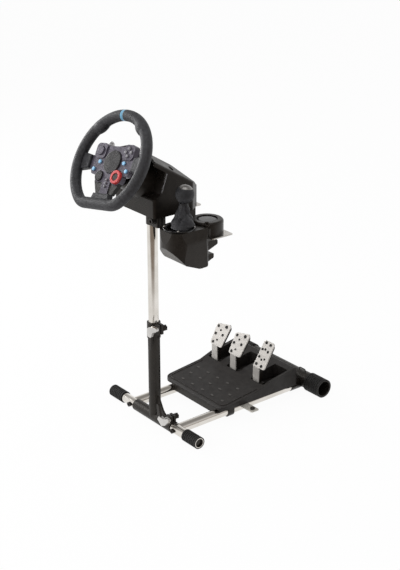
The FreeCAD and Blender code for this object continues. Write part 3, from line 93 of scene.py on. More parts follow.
# Steering wheel
WHEEL_TURN = 10.5        # wheel stands a little to the left
RIM_R = 0.1245           # middle of the grip
GRIP_R = 0.0145
GRIP_SIDES = 48
ROUND_STEPS = 130        # sections along each half of the round, each low corner and the flat
CORNER_STEPS = 14
FLAT_STEPS = 24
FLAT_V = 0.108           # flat bottom below the hub centre
FLAT_CORNER_R = 0.045
BAND_HALF = 0.0051
THUMB_ANGLES = (50.0, 130.0)
THUMB_IN = 0.004
THUMB_R = 0.016
THUMB_L = 0.028
THUMB_MELT = 0.0012      # rounding where a thumb rest meets the grip
SEAM_ANGLES = (208.5, 316.2, 431.2)
SEAM_DIP = 0.0008
SEAM_PROFILE = ((-0.0009, 0.0), (-0.0004, 0.6), (0.0, 1.0), (0.0004, 0.6), (0.0009, 0.0))
INNER_SEAM_W = 0.16      # radians of the grip's section
INNER_SEAM_DIP = 0.0009
STITCHES = 150
STITCH_HALF = 0.0030     # reach to each side of the inner seam
STITCH_SLANT = 0.0012
STITCH_CURL = 0.0009
THREAD_R = 0.00042
THREAD_SIDES = 6
THREAD_SINK = 0.0004     # below the round of the grip

# Screws
SCREW_PROFILE = ((1.0, -0.5), (1.0, 0.4), (0.9, 0.8), (0.7, 1.0))    # shares of the head's radius and height
RECESS_PROFILE = ((1.0, 1.0), (0.8, 0.25))
RECESS_REACH = 0.55      # shares of the head's radius
RECESS_HALF = 0.16
ROOF_SCREW = (0.070, 0.044, 0.126)       # beside, above and behind the rim centre
ROOF_SCREW_SIZE = (0.0042, 0.0030)       # radius and height of the head
RING_SCREWS = 4
RING_SCREW_R = 0.037     # of the circle that the screws stand on
RING_SCREW_TURN = 48.0
RING_SCREW_SIZE = (0.0028, 0.0016)
SHOULDER_SCREW = (0.1737, 0.0414)
SHOULDER_SCREW_SIZE = (0.0075, 0.0035)
BASE_SCREWS = ((0.095, 0.404), (-0.100, 0.404))
BASE_SCREW_SIZE = (0.0042, 0.0020)

# Gear lever
BOOT_ROWS = 56
BOOT_COLUMNS = 112
WAIST_ROW = 11           # row where the boot is split into its lower and upper piece
BOOT_MOUTH_R = 0.0268
BOOT_NECK_R = 0.0110
BOOT_TAPER = 1.5
BOOT_T = 0.0012
BOOT_SINK = 0.001        # foot of the boot below the top of its ring
BOOT_LEAN = (0.005, 0.003, 0.0)      # foot of the boot off the middle of its ring
BOOT_TOP = 0.82          # share of the way from the pivot to the middle of the knob
DEEP_FOLD = 0.0064       # heights of the long folds, the short ones, the rolls and the ripples
FINE_FOLD = 0.0026
ROLL = 0.0012
RIPPLE = 0.0016
SAG = 0.009              # how far the boot hangs over its ring, on the side at SAG_TURN
SAG_TURN = 52.0
SAG_LOW = 0.13           # share of the boot's height where the sag is fullest, and where it ends
SAG_HIGH = 0.70
DRUM_MIDDLE = (0.142, 0.067)
INLAY_PROFILE = ((0.0262, -0.0005), (0.0262, 0.0006), (0.0257, 0.0010), (0.0200, 0.0013),
                 (0.0100, 0.0015), (0.0005, 0.0016))
INLAY_SIDES = 96

# Base
HEEL_BORDER = 0.011      # bead inside the edge of the heel rest
HEEL_END = 0.122         # ends of the bead behind its front
HEEL_CORNER = 0.014
HEEL_CORNER_STEPS = 8
BEAD_R = 0.0011
BEAD_SIDES = 10
BEAD_STEP = 0.0079
SPRING_R = 0.0075
SPRING_WIRE_R = 0.0009
SPRING_SIDES = 8
SPRING_TURNS = 5
SPRING_STEPS = 20        # in each turn
SPRING_PITCH = 0.0021
SPRING_X = 0.0142        # start of the spring beside the middle of the pin
SPRING_ENDS = ((0.030, -0.0075), (0.028, -0.0035))       # behind and above the pin
RAIL_X = 0.099
RAIL_R = 0.0140
SLEEVE_R = 0.0149
SLEEVE_START = (0.4000, 0.02014)         # behind the front tube and above the floor
SLEEVE_END = (0.4455, 0.02056)
SLEEVE_EDGE = ((0.0, RAIL_R), (0.0006, 0.985 * SLEEVE_R), (0.0016, 0.996 * SLEEVE_R), (0.0028, SLEEVE_R))
SLEEVE_SIDES = 48
KEEPER_NEAR = 0.104      # legs of the wire staple, from the middle of the stand
KEEPER_FAR = 0.080
KEEPER_Y = 0.460
KEEPER_FOOT = 0.048
KEEPER_TOP = 0.057
KEEPER_BEND = 0.0026
KEEPER_KNEE = 0.3        # share of the bend that the middle of its curve lies in by
KEEPER_WIRE_R = 0.0013
KEEPER_SIDES = 12

# Grey metal rib along the front edge of each side wall of the housing, a painted highlight of that rounded edge
HIGHLIGHT_START = (-0.0160, 0.7315)           # behind the front tube and above the floor
HIGHLIGHT_END = (-0.0320, 0.6840)
HIGHLIGHT_R = (0.0019, 0.0010)                # at the start and at the end
HIGHLIGHT_STEPS = 14
HIGHLIGHT_SIDES = 12

# Lines cast onto a solid
DOWN = Vector((0, 0, -1))
OVERHEAD = 1.0           # start of a line downwards
BESIDE = 0.2             # start of a line from the side


def linear(r, g, b):
    """Shader colour of a red, green and blue from 0 to 255."""
    shares = [c / 255 for c in (r, g, b)]
    return tuple(((c + 0.055) / 1.055) ** 2.4 if c > 0.04 else c / 12.92 for c in shares) + (1.0,)


def add_node(tree, kind, inputs=(), **settings):
    """New shader node, with each input linked to a socket or set to a value."""
    node = tree.nodes.new(kind)
    for key, value in settings.items():
        setattr(node, key, value)
    for socket, value in dict(inputs).items():
        if isinstance(value, bpy.types.NodeSocket):
            tree.links.new(value, node.inputs[socket])
        else:
            node.inputs[socket].default_value = value
    return node


# Finishes
class Finish:
    """A material built up from one Principled shader, with patterns measured in metres."""

    def __init__(self, name, **sockets):
        self.material = bpy.data.materials.new(name)
        self.material.use_nodes = True
        tree = self.material.node_tree
        self.add = partial(add_node, tree)
        self.link = tree.links.new
        self.shader = tree.nodes["Principled BSDF"]
        self.point = self.add("ShaderNodeTexCoord").outputs["Object"]
        for socket, value in sockets.items():
            self.shader.inputs[socket.replace("_", " ")].default_value = value

    def clouds(self, size, detail=4.0, stretch=(1, 1, 1)):
        """Soft noise with features of that size."""
        point = self.add("ShaderNodeMapping", {"Vector": self.point, "Scale": stretch}).outputs["Vector"]
        pattern = self.add("ShaderNodeTexNoise", {"Vector": point, "Scale": 1 / size, "Detail": detail})
        return pattern.outputs["Fac"]

    def cells(self, size):
        """Distance to the edges of cells of that size."""
        pattern = self.add("ShaderNodeTexVoronoi", {"Vector": self.point, "Scale": 1 / size},
                           feature="DISTANCE_TO_EDGE")
        return pattern.outputs["Distance"]

    def spread(self, value, low, high, to_low, to_high):
        """The pattern's values from low to high, spread over another range."""
        return self.add("ShaderNodeMapRange", {"Value": value, "From Min": low, "From Max": high,
                                               "To Min": to_low, "To Max": to_high}).outputs["Result"]

    def colour(self, value, low, high, dark, light):
        """Colour that goes from dark to light as the pattern goes from low to high."""
        ramp = self.add("ShaderNodeValToRGB", {"Fac": value})
        for stop, at, shade in zip(ramp.color_ramp.elements, (low, high), (dark, light)):
            stop.position, stop.color = at, shade
        self.link(ramp.outputs["Color"], self.shader.inputs["Base Color"])

    def roughness(self, value, low, high, smooth, rough):
        """Roughness that goes from smooth to rough as the pattern goes from low to high."""
        self.link(self.spread(value, low, high, smooth, rough), self.shader.inputs["Roughness"])

    def relief(self, height, depth, strength=1.0, edge=0.0):
        """Raised grain of that depth, over edges rounded by that radius."""
        inputs = {"Height": height, "Distance": depth, "Strength": strength}
        if edge:
            inputs["Normal"] = self.add("ShaderNodeBevel", {"Radius": edge}, samples=4).outputs["Normal"]
        bump = self.add("ShaderNodeBump", inputs)
        self.link(bump.outputs["Normal"], self.shader.inputs["Normal"])


def moulded(name, dark, light, smooth, rough, grain=0.0006, edge=0.0008, **sockets):
    """Moulded plastic with a fine spark grain."""
    f = Finish(name, **sockets)
    f.colour(f.clouds(0.012), 0.35, 0.65, dark, light)
    f.roughness(f.clouds(0.03), 0.35, 0.65, smooth, rough)
    f.relief(f.clouds(grain, 2.0), 0.00008, 0.5, edge)
    return f.material


def plated(name, dark, light, smooth, rough, **sockets):
    """Bright plated metal with faint handling marks."""
    f = Finish(name, Metallic=1.0, **sockets)
    f.colour(f.clouds(0.05), 0.3, 0.7, dark, light)
    f.roughness(f.clouds(0.02, 6.0), 0.3, 0.75, smooth, rough)
    f.relief(f.clouds(0.004, 3.0), 0.00002, 0.2, 0.0006)
    return f.material


def brushed(name, dark, light, smooth, rough, stretch, metal=1.0, **sockets):
    """Metal brushed along its longer side."""
    f = Finish(name, Metallic=metal, **sockets)
    lines = f.clouds(0.01, 5.0, stretch)
    f.colour(lines, 0.3, 0.7, dark, light)
    f.roughness(lines, 0.3, 0.7, smooth, rough)
    f.relief(lines, 0.00006, 0.35, 0.0006)
    return f.material


def coated(name, dark, light, smooth, rough, **sockets):
    """Powder-coated metal with a fine orange-peel skin."""
    f = Finish(name, **sockets)
    f.colour(f.clouds(0.02), 0.35, 0.65, dark, light)
    f.roughness(f.clouds(0.01), 0.35, 0.65, smooth, rough)
    f.relief(f.clouds(0.0014, 2.0), 0.00012, 0.45, 0.0007)
    return f.material


def leather(name, dark, light, smooth, rough):
    """Fine-grained leather: small cells with creases between them."""
    f = Finish(name, Specular_IOR_Level=0.45)
    cells = f.cells(0.0016)
    f.colour(f.clouds(0.008, 5.0), 0.3, 0.7, dark, light)
    f.roughness(f.clouds(0.006), 0.3, 0.7, smooth, rough)
    f.relief(f.spread(cells, 0.0, 0.25, 0.0, 1.0), 0.00018, 0.5)
    return f.material


def rubbery(name, dark, light):
    """Dull rubber with a dusty bloom."""
    f = Finish(name, Specular_IOR_Level=0.35)
    f.colour(f.clouds(0.015, 6.0), 0.35, 0.7, dark, light)
    f.roughness(f.clouds(0.005), 0.3, 0.7, 0.6, 0.8)
    f.relief(f.clouds(0.0009, 2.0), 0.0001, 0.5, 0.0006)
    return f.material


# Finishes of the record's slots
WARM = (1.0, 0.93, 0.86, 1.0)    # tint of the light that black pieces mirror
ALONG_X = (0.08, 1, 1)           # stretch of the brush lines
ALONG_YZ = (1, 0.1, 0.1)
FINISHES = {
    "chrome": plated("Chrome", linear(205, 200, 192), linear(226, 222, 216), 0.07, 0.16),
    "steel": plated("ZincSteel", linear(176, 172, 166), linear(206, 203, 198), 0.2, 0.34),
    "black_metal": coated("BlackCoat", linear(22, 20, 18), linear(31, 28, 25), 0.36, 0.48,
                          Specular_IOR_Level=0.36, Specular_Tint=WARM),
    "rubber": rubbery("BlackRubber", linear(17, 16, 16), linear(28, 26, 25)),
    "black_plastic": moulded("BlackPlastic", linear(22, 19, 17), linear(29, 25, 22), 0.22, 0.32,
                             Specular_IOR_Level=0.3, Specular_Tint=WARM),
    "cast_silver": plated("CastSilver", linear(196, 194, 191), linear(220, 218, 215), 0.26, 0.38),
    "leather": leather("BlackLeather", linear(30, 30, 33), linear(48, 48, 52), 0.5, 0.64),
    "blue": moulded("PaleBlue", linear(112, 166, 206), linear(140, 190, 222), 0.28, 0.4, edge=0.0005),
    "charcoal": moulded("Charcoal", linear(66, 62, 72), linear(84, 79, 90), 0.2, 0.3, Metallic=0.35),
    "red": moulded("Red", linear(176, 44, 46), linear(200, 62, 60), 0.26, 0.38, edge=0.0005),
    "grey_metal": brushed("BrushedGrey", linear(120, 120, 124), linear(150, 150, 154), 0.28, 0.4,
                          ALONG_YZ),
    "pedal_metal": brushed("BrushedPedal", linear(180, 176, 171), linear(196, 192, 187), 0.36, 0.5,
                           ALONG_X, metal=0.25),
}

# Finishes of single solids that differ from their slot's
PADDLE_SILVER = plated("PaddleSilver", linear(190, 188, 188), linear(214, 212, 212), 0.22, 0.34)
GLOSS_BLACK = moulded("GlossBlack", linear(14, 13, 13), linear(20, 19, 19), 0.14, 0.22)
STRAP_LINES = (0.1, 1, 1)
LOOKS = {
    "knob": moulded("SoftTouch", linear(33, 33, 36), linear(42, 42, 45), 0.46, 0.58, Specular_IOR_Level=0.35),
    "knob_cap": brushed("BrushedCap", linear(112, 110, 108), linear(140, 138, 136), 0.3, 0.42, ALONG_YZ),
    "heel_studs": rubbery("HeelStuds", linear(74, 72, 69), linear(88, 86, 83)),
    "left_paddle": PADDLE_SILVER,
    "right_paddle": PADDLE_SILVER,
    "pedal_base": moulded("TexturedBlack", linear(35, 32, 31), linear(43, 40, 38), 0.44, 0.56,
                          Specular_IOR_Level=0.25),
    "boot_ring": GLOSS_BLACK,
    # The small buttons are dark; their light grey here is a painted highlight for their glints.
    "small_buttons": moulded("ButtonPaintedGlint", linear(100, 98, 102), linear(126, 124, 128), 0.2, 0.3),
    "hub_disc": moulded("HubBlack", linear(30, 28, 29), linear(38, 36, 37), 0.2, 0.3,
                        Specular_IOR_Level=0.35),
    "lower_panel": moulded("PanelBlack", linear(26, 24, 22), linear(34, 32, 30), 0.34, 0.46,
                           Specular_IOR_Level=0.3),
    "shifter_pod": moulded("PodBlack", linear(25, 22, 20), linear(32, 29, 26), 0.26, 0.36,
                           Specular_IOR_Level=0.3, Specular_Tint=WARM),
    "wheel_housing": moulded("HousingBlack", linear(21, 18, 16), linear(28, 24, 21), 0.26, 0.36,
                             Specular_IOR_Level=0.22, Specular_Tint=WARM),
    "rim_band": moulded("BandBlue", linear(84, 138, 168), linear(106, 160, 188), 0.2, 0.32, edge=0.0005),
    "pedal_strap": brushed("ZincStrap", linear(186, 182, 174), linear(206, 202, 194), 0.34, 0.46,
                           STRAP_LINES, metal=0.35),
    "pad_button": FINISHES["charcoal"],
}


def dress_solids():
    """The finish of every solid."""
    for name, obj in nodes.items():
        obj.data.materials.clear()
        obj.data.materials.append(LOOKS.get(name) or FINISHES[slots[name]])


# Mesh helpers
def piece(name, verts, faces, finish, body=None):
    """Mesh object with a finish from the record's slots; it rides on a body when one is given."""
    mesh = bpy.data.meshes.new(name)
    mesh.from_pydata([tuple(v) for v in verts], [], faces)
    mesh.polygons.foreach_set("use_smooth", [True] * len(mesh.polygons))
    mesh.materials.append(FINISHES[finish])
    obj = bpy.data.objects.new(name, mesh)
    bpy.context.scene.collection.objects.link(obj)
    outward = bmesh.new()
    outward.from_mesh(mesh)
    bmesh.ops.recalc_face_normals(outward, faces=outward.faces)
    outward.to_mesh(mesh)
    outward.free()
    if body:
        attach(obj, body)
    return obj


def bridge(rings, capped=True):
    """Faces between rings of vertices that follow each other, as many in each."""
    n = len(rings[0])
    last = (len(rings) - 1) * n
    verts = [v for ring in rings for v in ring]
    faces = []
    for a in range(0, last, n):
        faces += [(a + k, a + (k + 1) % n, a + n + (k + 1) % n, a + n + k) for k in range(n)]
    if capped:
        faces += [tuple(range(n - 1, -1, -1)), tuple(range(last, last + n))]
    return verts, faces


def circle(centre, u, v, r, n):
    """Points of a circle spanned by the directions u and v."""
    turns = [2 * math.pi * k / n for k in range(n)]
    return [centre + u * (r * math.cos(t)) + v * (r * math.sin(t)) for t in turns]


def sweep(points, r, n):
    """Round rod of n sides along a line of points, of one radius or of one at each point."""
    points = [Vector(p) for p in points]
    radii = r if isinstance(r, list) else [r] * len(points)
    rings = []
    u = None
    for i, (p, radius) in enumerate(zip(points, radii)):
        along = (points[min(i + 1, len(points) - 1)] - points[max(i - 1, 0)]).normalized()
        u = along.orthogonal().normalized() if u is None else (u - along * u.dot(along)).normalized()
        rings.append(circle(p, u, along.cross(u), radius, n))
    return bridge(rings)


def gather(parts):
    """Several lists of vertices and faces as one."""
    verts, faces = [], []
    for more, shapes in parts:
        faces += [tuple(i + len(verts) for i in face) for face in shapes]
        verts += list(more)
    return verts, faces


# Places, with the wheel's directions across, up and towards the driver, level and turned
wheel_at = Vector(joints["steering"]["pos_m"])
wheel_w = Vector(joints["steering"]["axis"]).normalized()
level_u = Vector((1, 0, 0))
level_v = wheel_w.cross(level_u)
turn = math.radians(WHEEL_TURN)
wheel_u = level_u * math.cos(turn) + level_v * math.sin(turn)
wheel_v = wheel_w.cross(wheel_u)
lever_at = Vector(joints["gear_select"]["pos_m"])
knob_low, knob_high = (Vector(c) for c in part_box("knob"))
knob_at = (knob_low + knob_high) / 2
ring_low, ring_high = (Vector(c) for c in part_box("boot_ring"))
ring_at = (ring_low + ring_high) / 2
tube_low, tube_high = (Vector(c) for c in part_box("front_tube"))
tube_at = Vector((0, (tube_low.y + tube_high.y) / 2, 0))


def on_wheel(x, y, w=0.0):
    """Point of the wheel's own plane, w towards the driver."""
    return wheel_at + wheel_u * x + wheel_v * y + wheel_w * w


def place(x, y, z):
    """Point measured from the middle of the front tube, on the floor."""
    return Vector((x, y, z)) + tube_at


def meet(node, start, way):
    """Where a line from start first meets a solid, and the face's normal there."""
    mesh = nodes[node].data
    tree = BVHTree.FromPolygons([v.co for v in mesh.vertices], [f.vertices for f in mesh.polygons])
    at, normal, _, _ = tree.ray_cast(start, Vector(way))
    return at, normal


def top_of(node, x, y):
    """Top of a solid at a place of the floor plan, and its normal there."""
    return meet(node, place(x, y, OVERHEAD), DOWN)


# Steering wheel grip
def rim_line():
    """Middle line of the grip, from one side of the band to the other: x, y and outward angle."""
    corner_d = RIM_R - FLAT_CORNER_R
    corner_y = FLAT_CORNER_R - FLAT_V
    corner_x = math.sqrt(corner_d ** 2 - corner_y ** 2)
    corner_a = math.atan2(corner_y, corner_x)
    line = []

    def arc(x, y, r, start, end, count):
        for i in range(count):
            a = start + (end - start) * i / count
            line.append((x + r * math.cos(a), y + r * math.sin(a), a))

    band_a = BAND_HALF / RIM_R
    low = 1.5 * math.pi
    end = 2.5 * math.pi - band_a
    arc(0, 0, RIM_R, math.pi / 2 + band_a, math.pi - corner_a, ROUND_STEPS)
    arc(-corner_x, corner_y, FLAT_CORNER_R, math.pi - corner_a, low, CORNER_STEPS)
    line += [(-corner_x + 2 * corner_x * i / FLAT_STEPS, -FLAT_V, low) for i in range(FLAT_STEPS)]
    arc(corner_x, corner_y, FLAT_CORNER_R, low, 2 * math.pi + corner_a, CORNER_STEPS)
    arc(0, 0, RIM_R, 2 * math.pi + corner_a, end, ROUND_STEPS)
    return line + [(RIM_R * math.cos(end), RIM_R * math.sin(end), end)]


def with_seams(line):
    """The line with extra points at the cross seams, and how far the leather dips at each point."""
    places = [(math.degrees(math.atan2(y, x)) - 90) % 360 + 90 for x, y, _ in line]
    dipped = []
    for i, point in enumerate(line):
        dipped.append(point + (0.0,))
        for seam in SEAM_ANGLES:
            if i + 1 < len(line) and places[i] <= seam < places[i + 1]:
                x, y, angle = (Vector(point) + Vector(line[i + 1])) / 2
                for step, dip in SEAM_PROFILE:
                    at = (x - step * math.sin(angle), y + step * math.cos(angle), angle)
                    dipped.append(at + (dip * SEAM_DIP,))
    return dipped


def grip_radius(angle, t):
    """Radius of the grip in direction t of its section, 0 outward, with the thumb rests melted in."""
    reach = 0.0
    for rest in THUMB_ANGLES:
        away = math.radians((math.degrees(angle) - rest + 180) % 360 - 180) * RIM_R
        r = THUMB_R * math.sqrt(max(0.0, 1 - (away / THUMB_L) ** 2))
        inside = r * r - (THUMB_IN * math.sin(t)) ** 2
        if inside > 0:
            reach = max(reach, math.sqrt(inside) - THUMB_IN * math.cos(t))
    return (GRIP_R + reach + math.hypot(GRIP_R - reach, THUMB_MELT)) / 2


def grip_ring(x, y, angle, dip):
    """Section of the grip, nipped at the inner seam."""
    ring = []
    for k in range(GRIP_SIDES):
        t = 2 * math.pi * k / GRIP_SIDES
        nip = INNER_SEAM_DIP * math.exp(-((t - math.pi) / INNER_SEAM_W) ** 2)
        r = grip_radius(angle, t) - nip - dip
        out = r * math.cos(t)
        ring.append(on_wheel(x + math.cos(angle) * out, y + math.sin(angle) * out, r * math.sin(t)))
    return ring


def stitch(x, y, angle):
    """One slanted stitch over the inner seam."""
    out = Vector((math.cos(angle), math.sin(angle)))
    ahead = Vector((-out.y, out.x))
    spot = Vector((x, y)) - out * (grip_radius(angle, math.pi) - THREAD_SINK)
    ends = []
    for side in (-1, 0, 1):
        q = spot + ahead * (STITCH_SLANT * side) + out * (STITCH_CURL * abs(side))
        ends.append(on_wheel(q.x, q.y, STITCH_HALF * side))
    return sweep(ends, THREAD_R, THREAD_SIDES)


def make_grip():
    """Leather of the rim, with its cross seams and the stitches of its inner seam."""
    line = rim_line()
    verts, faces = bridge([grip_ring(*p) for p in with_seams(line)])
    grip = piece("grip_leather", verts, faces, "leather", "wheel")
    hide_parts("rim")
    lengths = [0.0]
    for a, b in zip(line, line[1:]):
        lengths.append(lengths[-1] + math.hypot(b[0] - a[0], b[1] - a[1]))
    threads = []
    for k in range(STITCHES):
        want = lengths[-1] * (k + 0.5) / STITCHES
        i = max(j for j, s in enumerate(lengths) if s <= want)
        threads.append(stitch(*line[i]))
    piece("grip_stitching", *gather(threads), "leather", "wheel")


# Gear lever boot
def boot_swell(t, h):
    """How far the folds of the boot stand out or in: waves that twist and shift on their way up."""
    warp = noise.noise(Vector((1.4 * math.cos(t), 1.4 * math.sin(t), 2.2 * h)))
    deep = abs(math.sin(1.5 * (t + 2.6 * h) + 1.1 * warp + 0.5))
    fine = abs(math.sin(2.5 * (t - 1.6 * h) - 1.4 * warp))
    roll = math.sin(2 * math.pi * (2.6 * h + 0.3 * math.sin(t + 0.6)))
    slack = math.sin(math.pi * h ** 0.8) ** 0.7
    return slack * (DEEP_FOLD * (deep - 0.55) + FINE_FOLD * (fine - 0.6) + ROLL * roll + RIPPLE * warp)


def boot_sag(t, h):
    """How far the slack leather hangs out over one side of the ring."""
    rise = h / SAG_LOW if h < SAG_LOW else max((SAG_HIGH - h) / (SAG_HIGH - SAG_LOW), 0.0)
    side = max(math.cos(t - math.radians(SAG_TURN)), 0.0)
    return SAG * side ** 1.5 * rise * rise * (3 - 2 * rise)


def boot_row(h):
    """Row of the boot at height h, 0 at the mouth and 1 at the neck inside the knob."""
    foot = Vector((ring_at.x, ring_at.y, ring_high.z - BOOT_SINK)) + Vector(BOOT_LEAN)
    neck = lever_at + (knob_at - lever_at) * BOOT_TOP
    centre = foot.lerp(neck, h)
    radius = BOOT_NECK_R + (BOOT_MOUTH_R - BOOT_NECK_R) * (1 - h) ** BOOT_TAPER
    row = []
    for k in range(BOOT_COLUMNS):
        t = 2 * math.pi * k / BOOT_COLUMNS
        r = radius + boot_swell(t, h) + boot_sag(t, h)
        row.append(centre + Vector((r * math.cos(t), r * math.sin(t), 0.0)))
    return row


def make_boot():
    """Folded leather boot in two pieces, split at the waist row."""
    rows = [boot_row(i / BOOT_ROWS) for i in range(BOOT_ROWS + 1)]
    lower = piece("boot_skirt", *bridge(rows[:WAIST_ROW + 1], capped=False), "leather")
    upper = piece("boot_collar", *bridge(rows[WAIST_ROW:], capped=False), "leather")
    for obj in (lower, upper):
        skin = obj.modifiers.new("Thickness", "SOLIDIFY")
        skin.thickness = BOOT_T
        skin.offset = -1
    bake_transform(lower)
    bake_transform(upper)
    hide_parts("shifter_boot")


def make_inlay():
    """Glossy, faintly domed disc on the floor of the drum's recess."""
    floor, up = top_of("shifter_pod", *DRUM_MIDDLE)
    u = up.orthogonal().normalized()
    rings = [circle(floor + up * h, u, up.cross(u), r, INLAY_SIDES) for r, h in INLAY_PROFILE]
    disc = piece("drum_inlay", *bridge(rings), "black_plastic", "carriage")
    disc.data.materials[0] = GLOSS_BLACK


# Screws
def plus_outline(reach, half):
    """Outline of a cross recess, two points for each of its twelve corners."""
    arm = [(reach, -half), (reach, half), (half, half)]
    corners = []
    for c, s in ((1, 0), (0, 1), (-1, 0), (0, -1)):
        corners += [(x * c - y * s, x * s + y * c) for x, y in arm]
    points = []
    for (x0, y0), (x1, y1) in zip(corners, corners[1:] + corners[:1]):
        points += [(x0, y0), ((x0 + x1) / 2, (y0 + y1) / 2)]
    return points


def screw(at, normal, r, height):
    """Round-headed screw with a cross recess."""
    w = Vector(normal).normalized()
    u = w.orthogonal().normalized()
    v = w.cross(u)
    cross = plus_outline(RECESS_REACH * r, RECESS_HALF * r)
    turns = [math.atan2(y, x) for x, y in cross]
    head = [(r * math.cos(t), r * math.sin(t)) for t in turns]
    rings = []
    for outline, profile in ((head, SCREW_PROFILE), (cross, RECESS_PROFILE)):
        for share, h in profile:
            rings.append([at + u * (x * share) + v * (y * share) + w * (h * height) for x, y in outline])
    return bridge(rings)


def make_screws():
    """Screws of the boot ring, the housing's roof, the pod's shoulder and the pedal base."""
    ring_screws = []
    for k in range(RING_SCREWS):
        a = math.radians(RING_SCREW_TURN) + 2 * math.pi * k / RING_SCREWS
        above = ring_at + Vector((math.cos(a), math.sin(a), 1)) * RING_SCREW_R
        ring_screws.append(screw(*meet("boot_ring", above, DOWN), *RING_SCREW_SIZE))
    piece("boot_ring_screws", *gather(ring_screws), "steel", "carriage")
    beside, above, behind = ROOF_SCREW
    wells = [wheel_at + level_u * (side * beside) + level_v * above - wheel_w * behind for side in (-1, 1)]
    roof_screws = [screw(at, level_v, *ROOF_SCREW_SIZE) for at in wells]
    piece("roof_screws", *gather(roof_screws), "steel", "carriage")
    shoulder = screw(*top_of("shifter_pod", *SHOULDER_SCREW), *SHOULDER_SCREW_SIZE)
    piece("shoulder_screw", *shoulder, "black_plastic", "carriage")
    base_screws = [screw(*top_of("pedal_base", x, y), *BASE_SCREW_SIZE) for x, y in BASE_SCREWS]
    piece("base_screws", *gather(base_screws), "black_metal", "base")


# Pedal base
def make_heel_bead():
    """Raised border around the heel rest, laid on its top."""
    low, high = (Vector(c) - tube_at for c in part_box("pedal_base"))
    left, right, front = low.x + HEEL_BORDER, high.x - HEEL_BORDER, low.y + HEEL_BORDER
    corners = [(left, front + HEEL_END)]
    for x, start in ((left + HEEL_CORNER, math.pi), (right - HEEL_CORNER, 1.5 * math.pi)):
        for i in range(HEEL_CORNER_STEPS + 1):
            a = start + math.pi / 2 * i / HEEL_CORNER_STEPS
            corners.append((x + HEEL_CORNER * math.cos(a), front + HEEL_CORNER * (1 + math.sin(a))))
    corners.append((right, front + HEEL_END))
    points = []
    for (x0, y0), (x1, y1) in zip(corners, corners[1:]):
        steps = max(1, round(math.hypot(x1 - x0, y1 - y0) / BEAD_STEP))
        points += [(x0 + (x1 - x0) * i / steps, y0 + (y1 - y0) * i / steps) for i in range(steps)]
    points.append(corners[-1])
    seats = [top_of("pedal_base", x, y)[0] for x, y in points]
    piece("heel_bead", *sweep(seats, BEAD_R, BEAD_SIDES), "black_plastic", "base")


def make_springs():
    """Torsion spring on each pedal's pin, beside its arm."""
    (low_y, low_z), (high_y, high_z) = SPRING_ENDS
    for pedal in ("clutch", "brake", "throttle"):
        wire = [(SPRING_X, low_y, low_z)]
        for i in range(SPRING_TURNS * SPRING_STEPS + 1):
            turns = i / SPRING_STEPS
            a = 2 * math.pi * turns
            wire.append((SPRING_X + SPRING_PITCH * turns, SPRING_R * math.cos(a), SPRING_R * math.sin(a)))
        wire.append((SPRING_X + SPRING_PITCH * SPRING_TURNS, high_y, high_z))
        pin = Vector(joints[pedal + "_press"]["pos_m"])
        spring = sweep([pin + Vector(p) for p in wire], SPRING_WIRE_R, SPRING_SIDES)
        piece(pedal + "_spring", *spring, "black_metal", "base")


# Rails
def make_sleeves():
    """Black sleeve on each rail where it enters the rear tube."""
    (y0, z0), (y1, z1) = SLEEVE_START, SLEEVE_END
    rise = (z1 - z0) / (y1 - y0)
    profile = SLEEVE_EDGE + ((y1 - y0, SLEEVE_R),)
    radii = [r for _, r in profile]
    sleeves = []
    for side in (-1, 1):
        line = [place(side * RAIL_X, y0 + d, z0 + d * rise) for d, _ in profile]
        sleeves.append(sweep(line, radii, SLEEVE_SIDES))
    piece("rail_sleeves", *gather(sleeves), "black_plastic", "base")


def make_keeper():
    """Wire staple on top of the rear tube."""
    near, far, top = KEEPER_NEAR, KEEPER_FAR, KEEPER_TOP
    bend, knee = KEEPER_BEND, KEEPER_BEND * KEEPER_KNEE
    line = [(near, KEEPER_FOOT), (near, top - bend), (near - knee, top - knee), (near - bend, top),
            (far + bend, top), (far + knee, top - knee), (far, top - bend), (far, KEEPER_FOOT)]
    wire = sweep([place(x, KEEPER_Y, z) for x, z in line], KEEPER_WIRE_R, KEEPER_SIDES)
    piece("wire_keeper", *wire, "black_metal", "base")


# Wheel housing
def make_edge_highlight():
    """Grey metal rib on each side wall of the housing, along its front edge: a painted highlight of the edge."""
    (y0, z0), (y1, z1), (thick, thin) = HIGHLIGHT_START, HIGHLIGHT_END, HIGHLIGHT_R
    ribs = []
    for side in (-1, 1):
        line, radii = [], []
        for i in range(HIGHLIGHT_STEPS + 1):
            t = i / HIGHLIGHT_STEPS
            start = place(side * BESIDE, y0 + (y1 - y0) * t, z0 + (z1 - z0) * t)
            line.append(meet("wheel_housing", start, (-side, 0, 0))[0])
            radii.append(thick + (thin - thick) * t)
        ribs.append(sweep(line, radii, HIGHLIGHT_SIDES))
    # The rib's light grey metal is a painted highlight on the black housing's front edge.
    piece("housing_edge_highlight", *gather(ribs), "grey_metal", "carriage")


# Studio
def shade_tree(owner):
    """A way to add linked nodes to the emptied node tree of a material or the world."""
    owner.use_nodes = True
    owner.node_tree.nodes.clear()
    return partial(add_node, owner.node_tree)


def smooth_step(add, value, start, end):
    """0 to 1 as a value goes from start to end."""
    return add("ShaderNodeMapRange", {"Value": value, "From Min": start, "From Max": end},
               interpolation_type="SMOOTHSTEP").outputs["Result"]


def front_share(add, point, start, end):
    """0 to 1 as a point or direction lies further towards the front of the studio."""
    ahead = add("ShaderNodeVectorMath", {0: point, 1: FRONT_OF_STUDIO}, operation="DOT_PRODUCT")
    return smooth_step(add, ahead.outputs["Value"], start, end)


def times(add, a, b):
    """Product of two values."""
    return add("ShaderNodeMath", {0: a, 1: b}, operation="MULTIPLY").outputs[0]


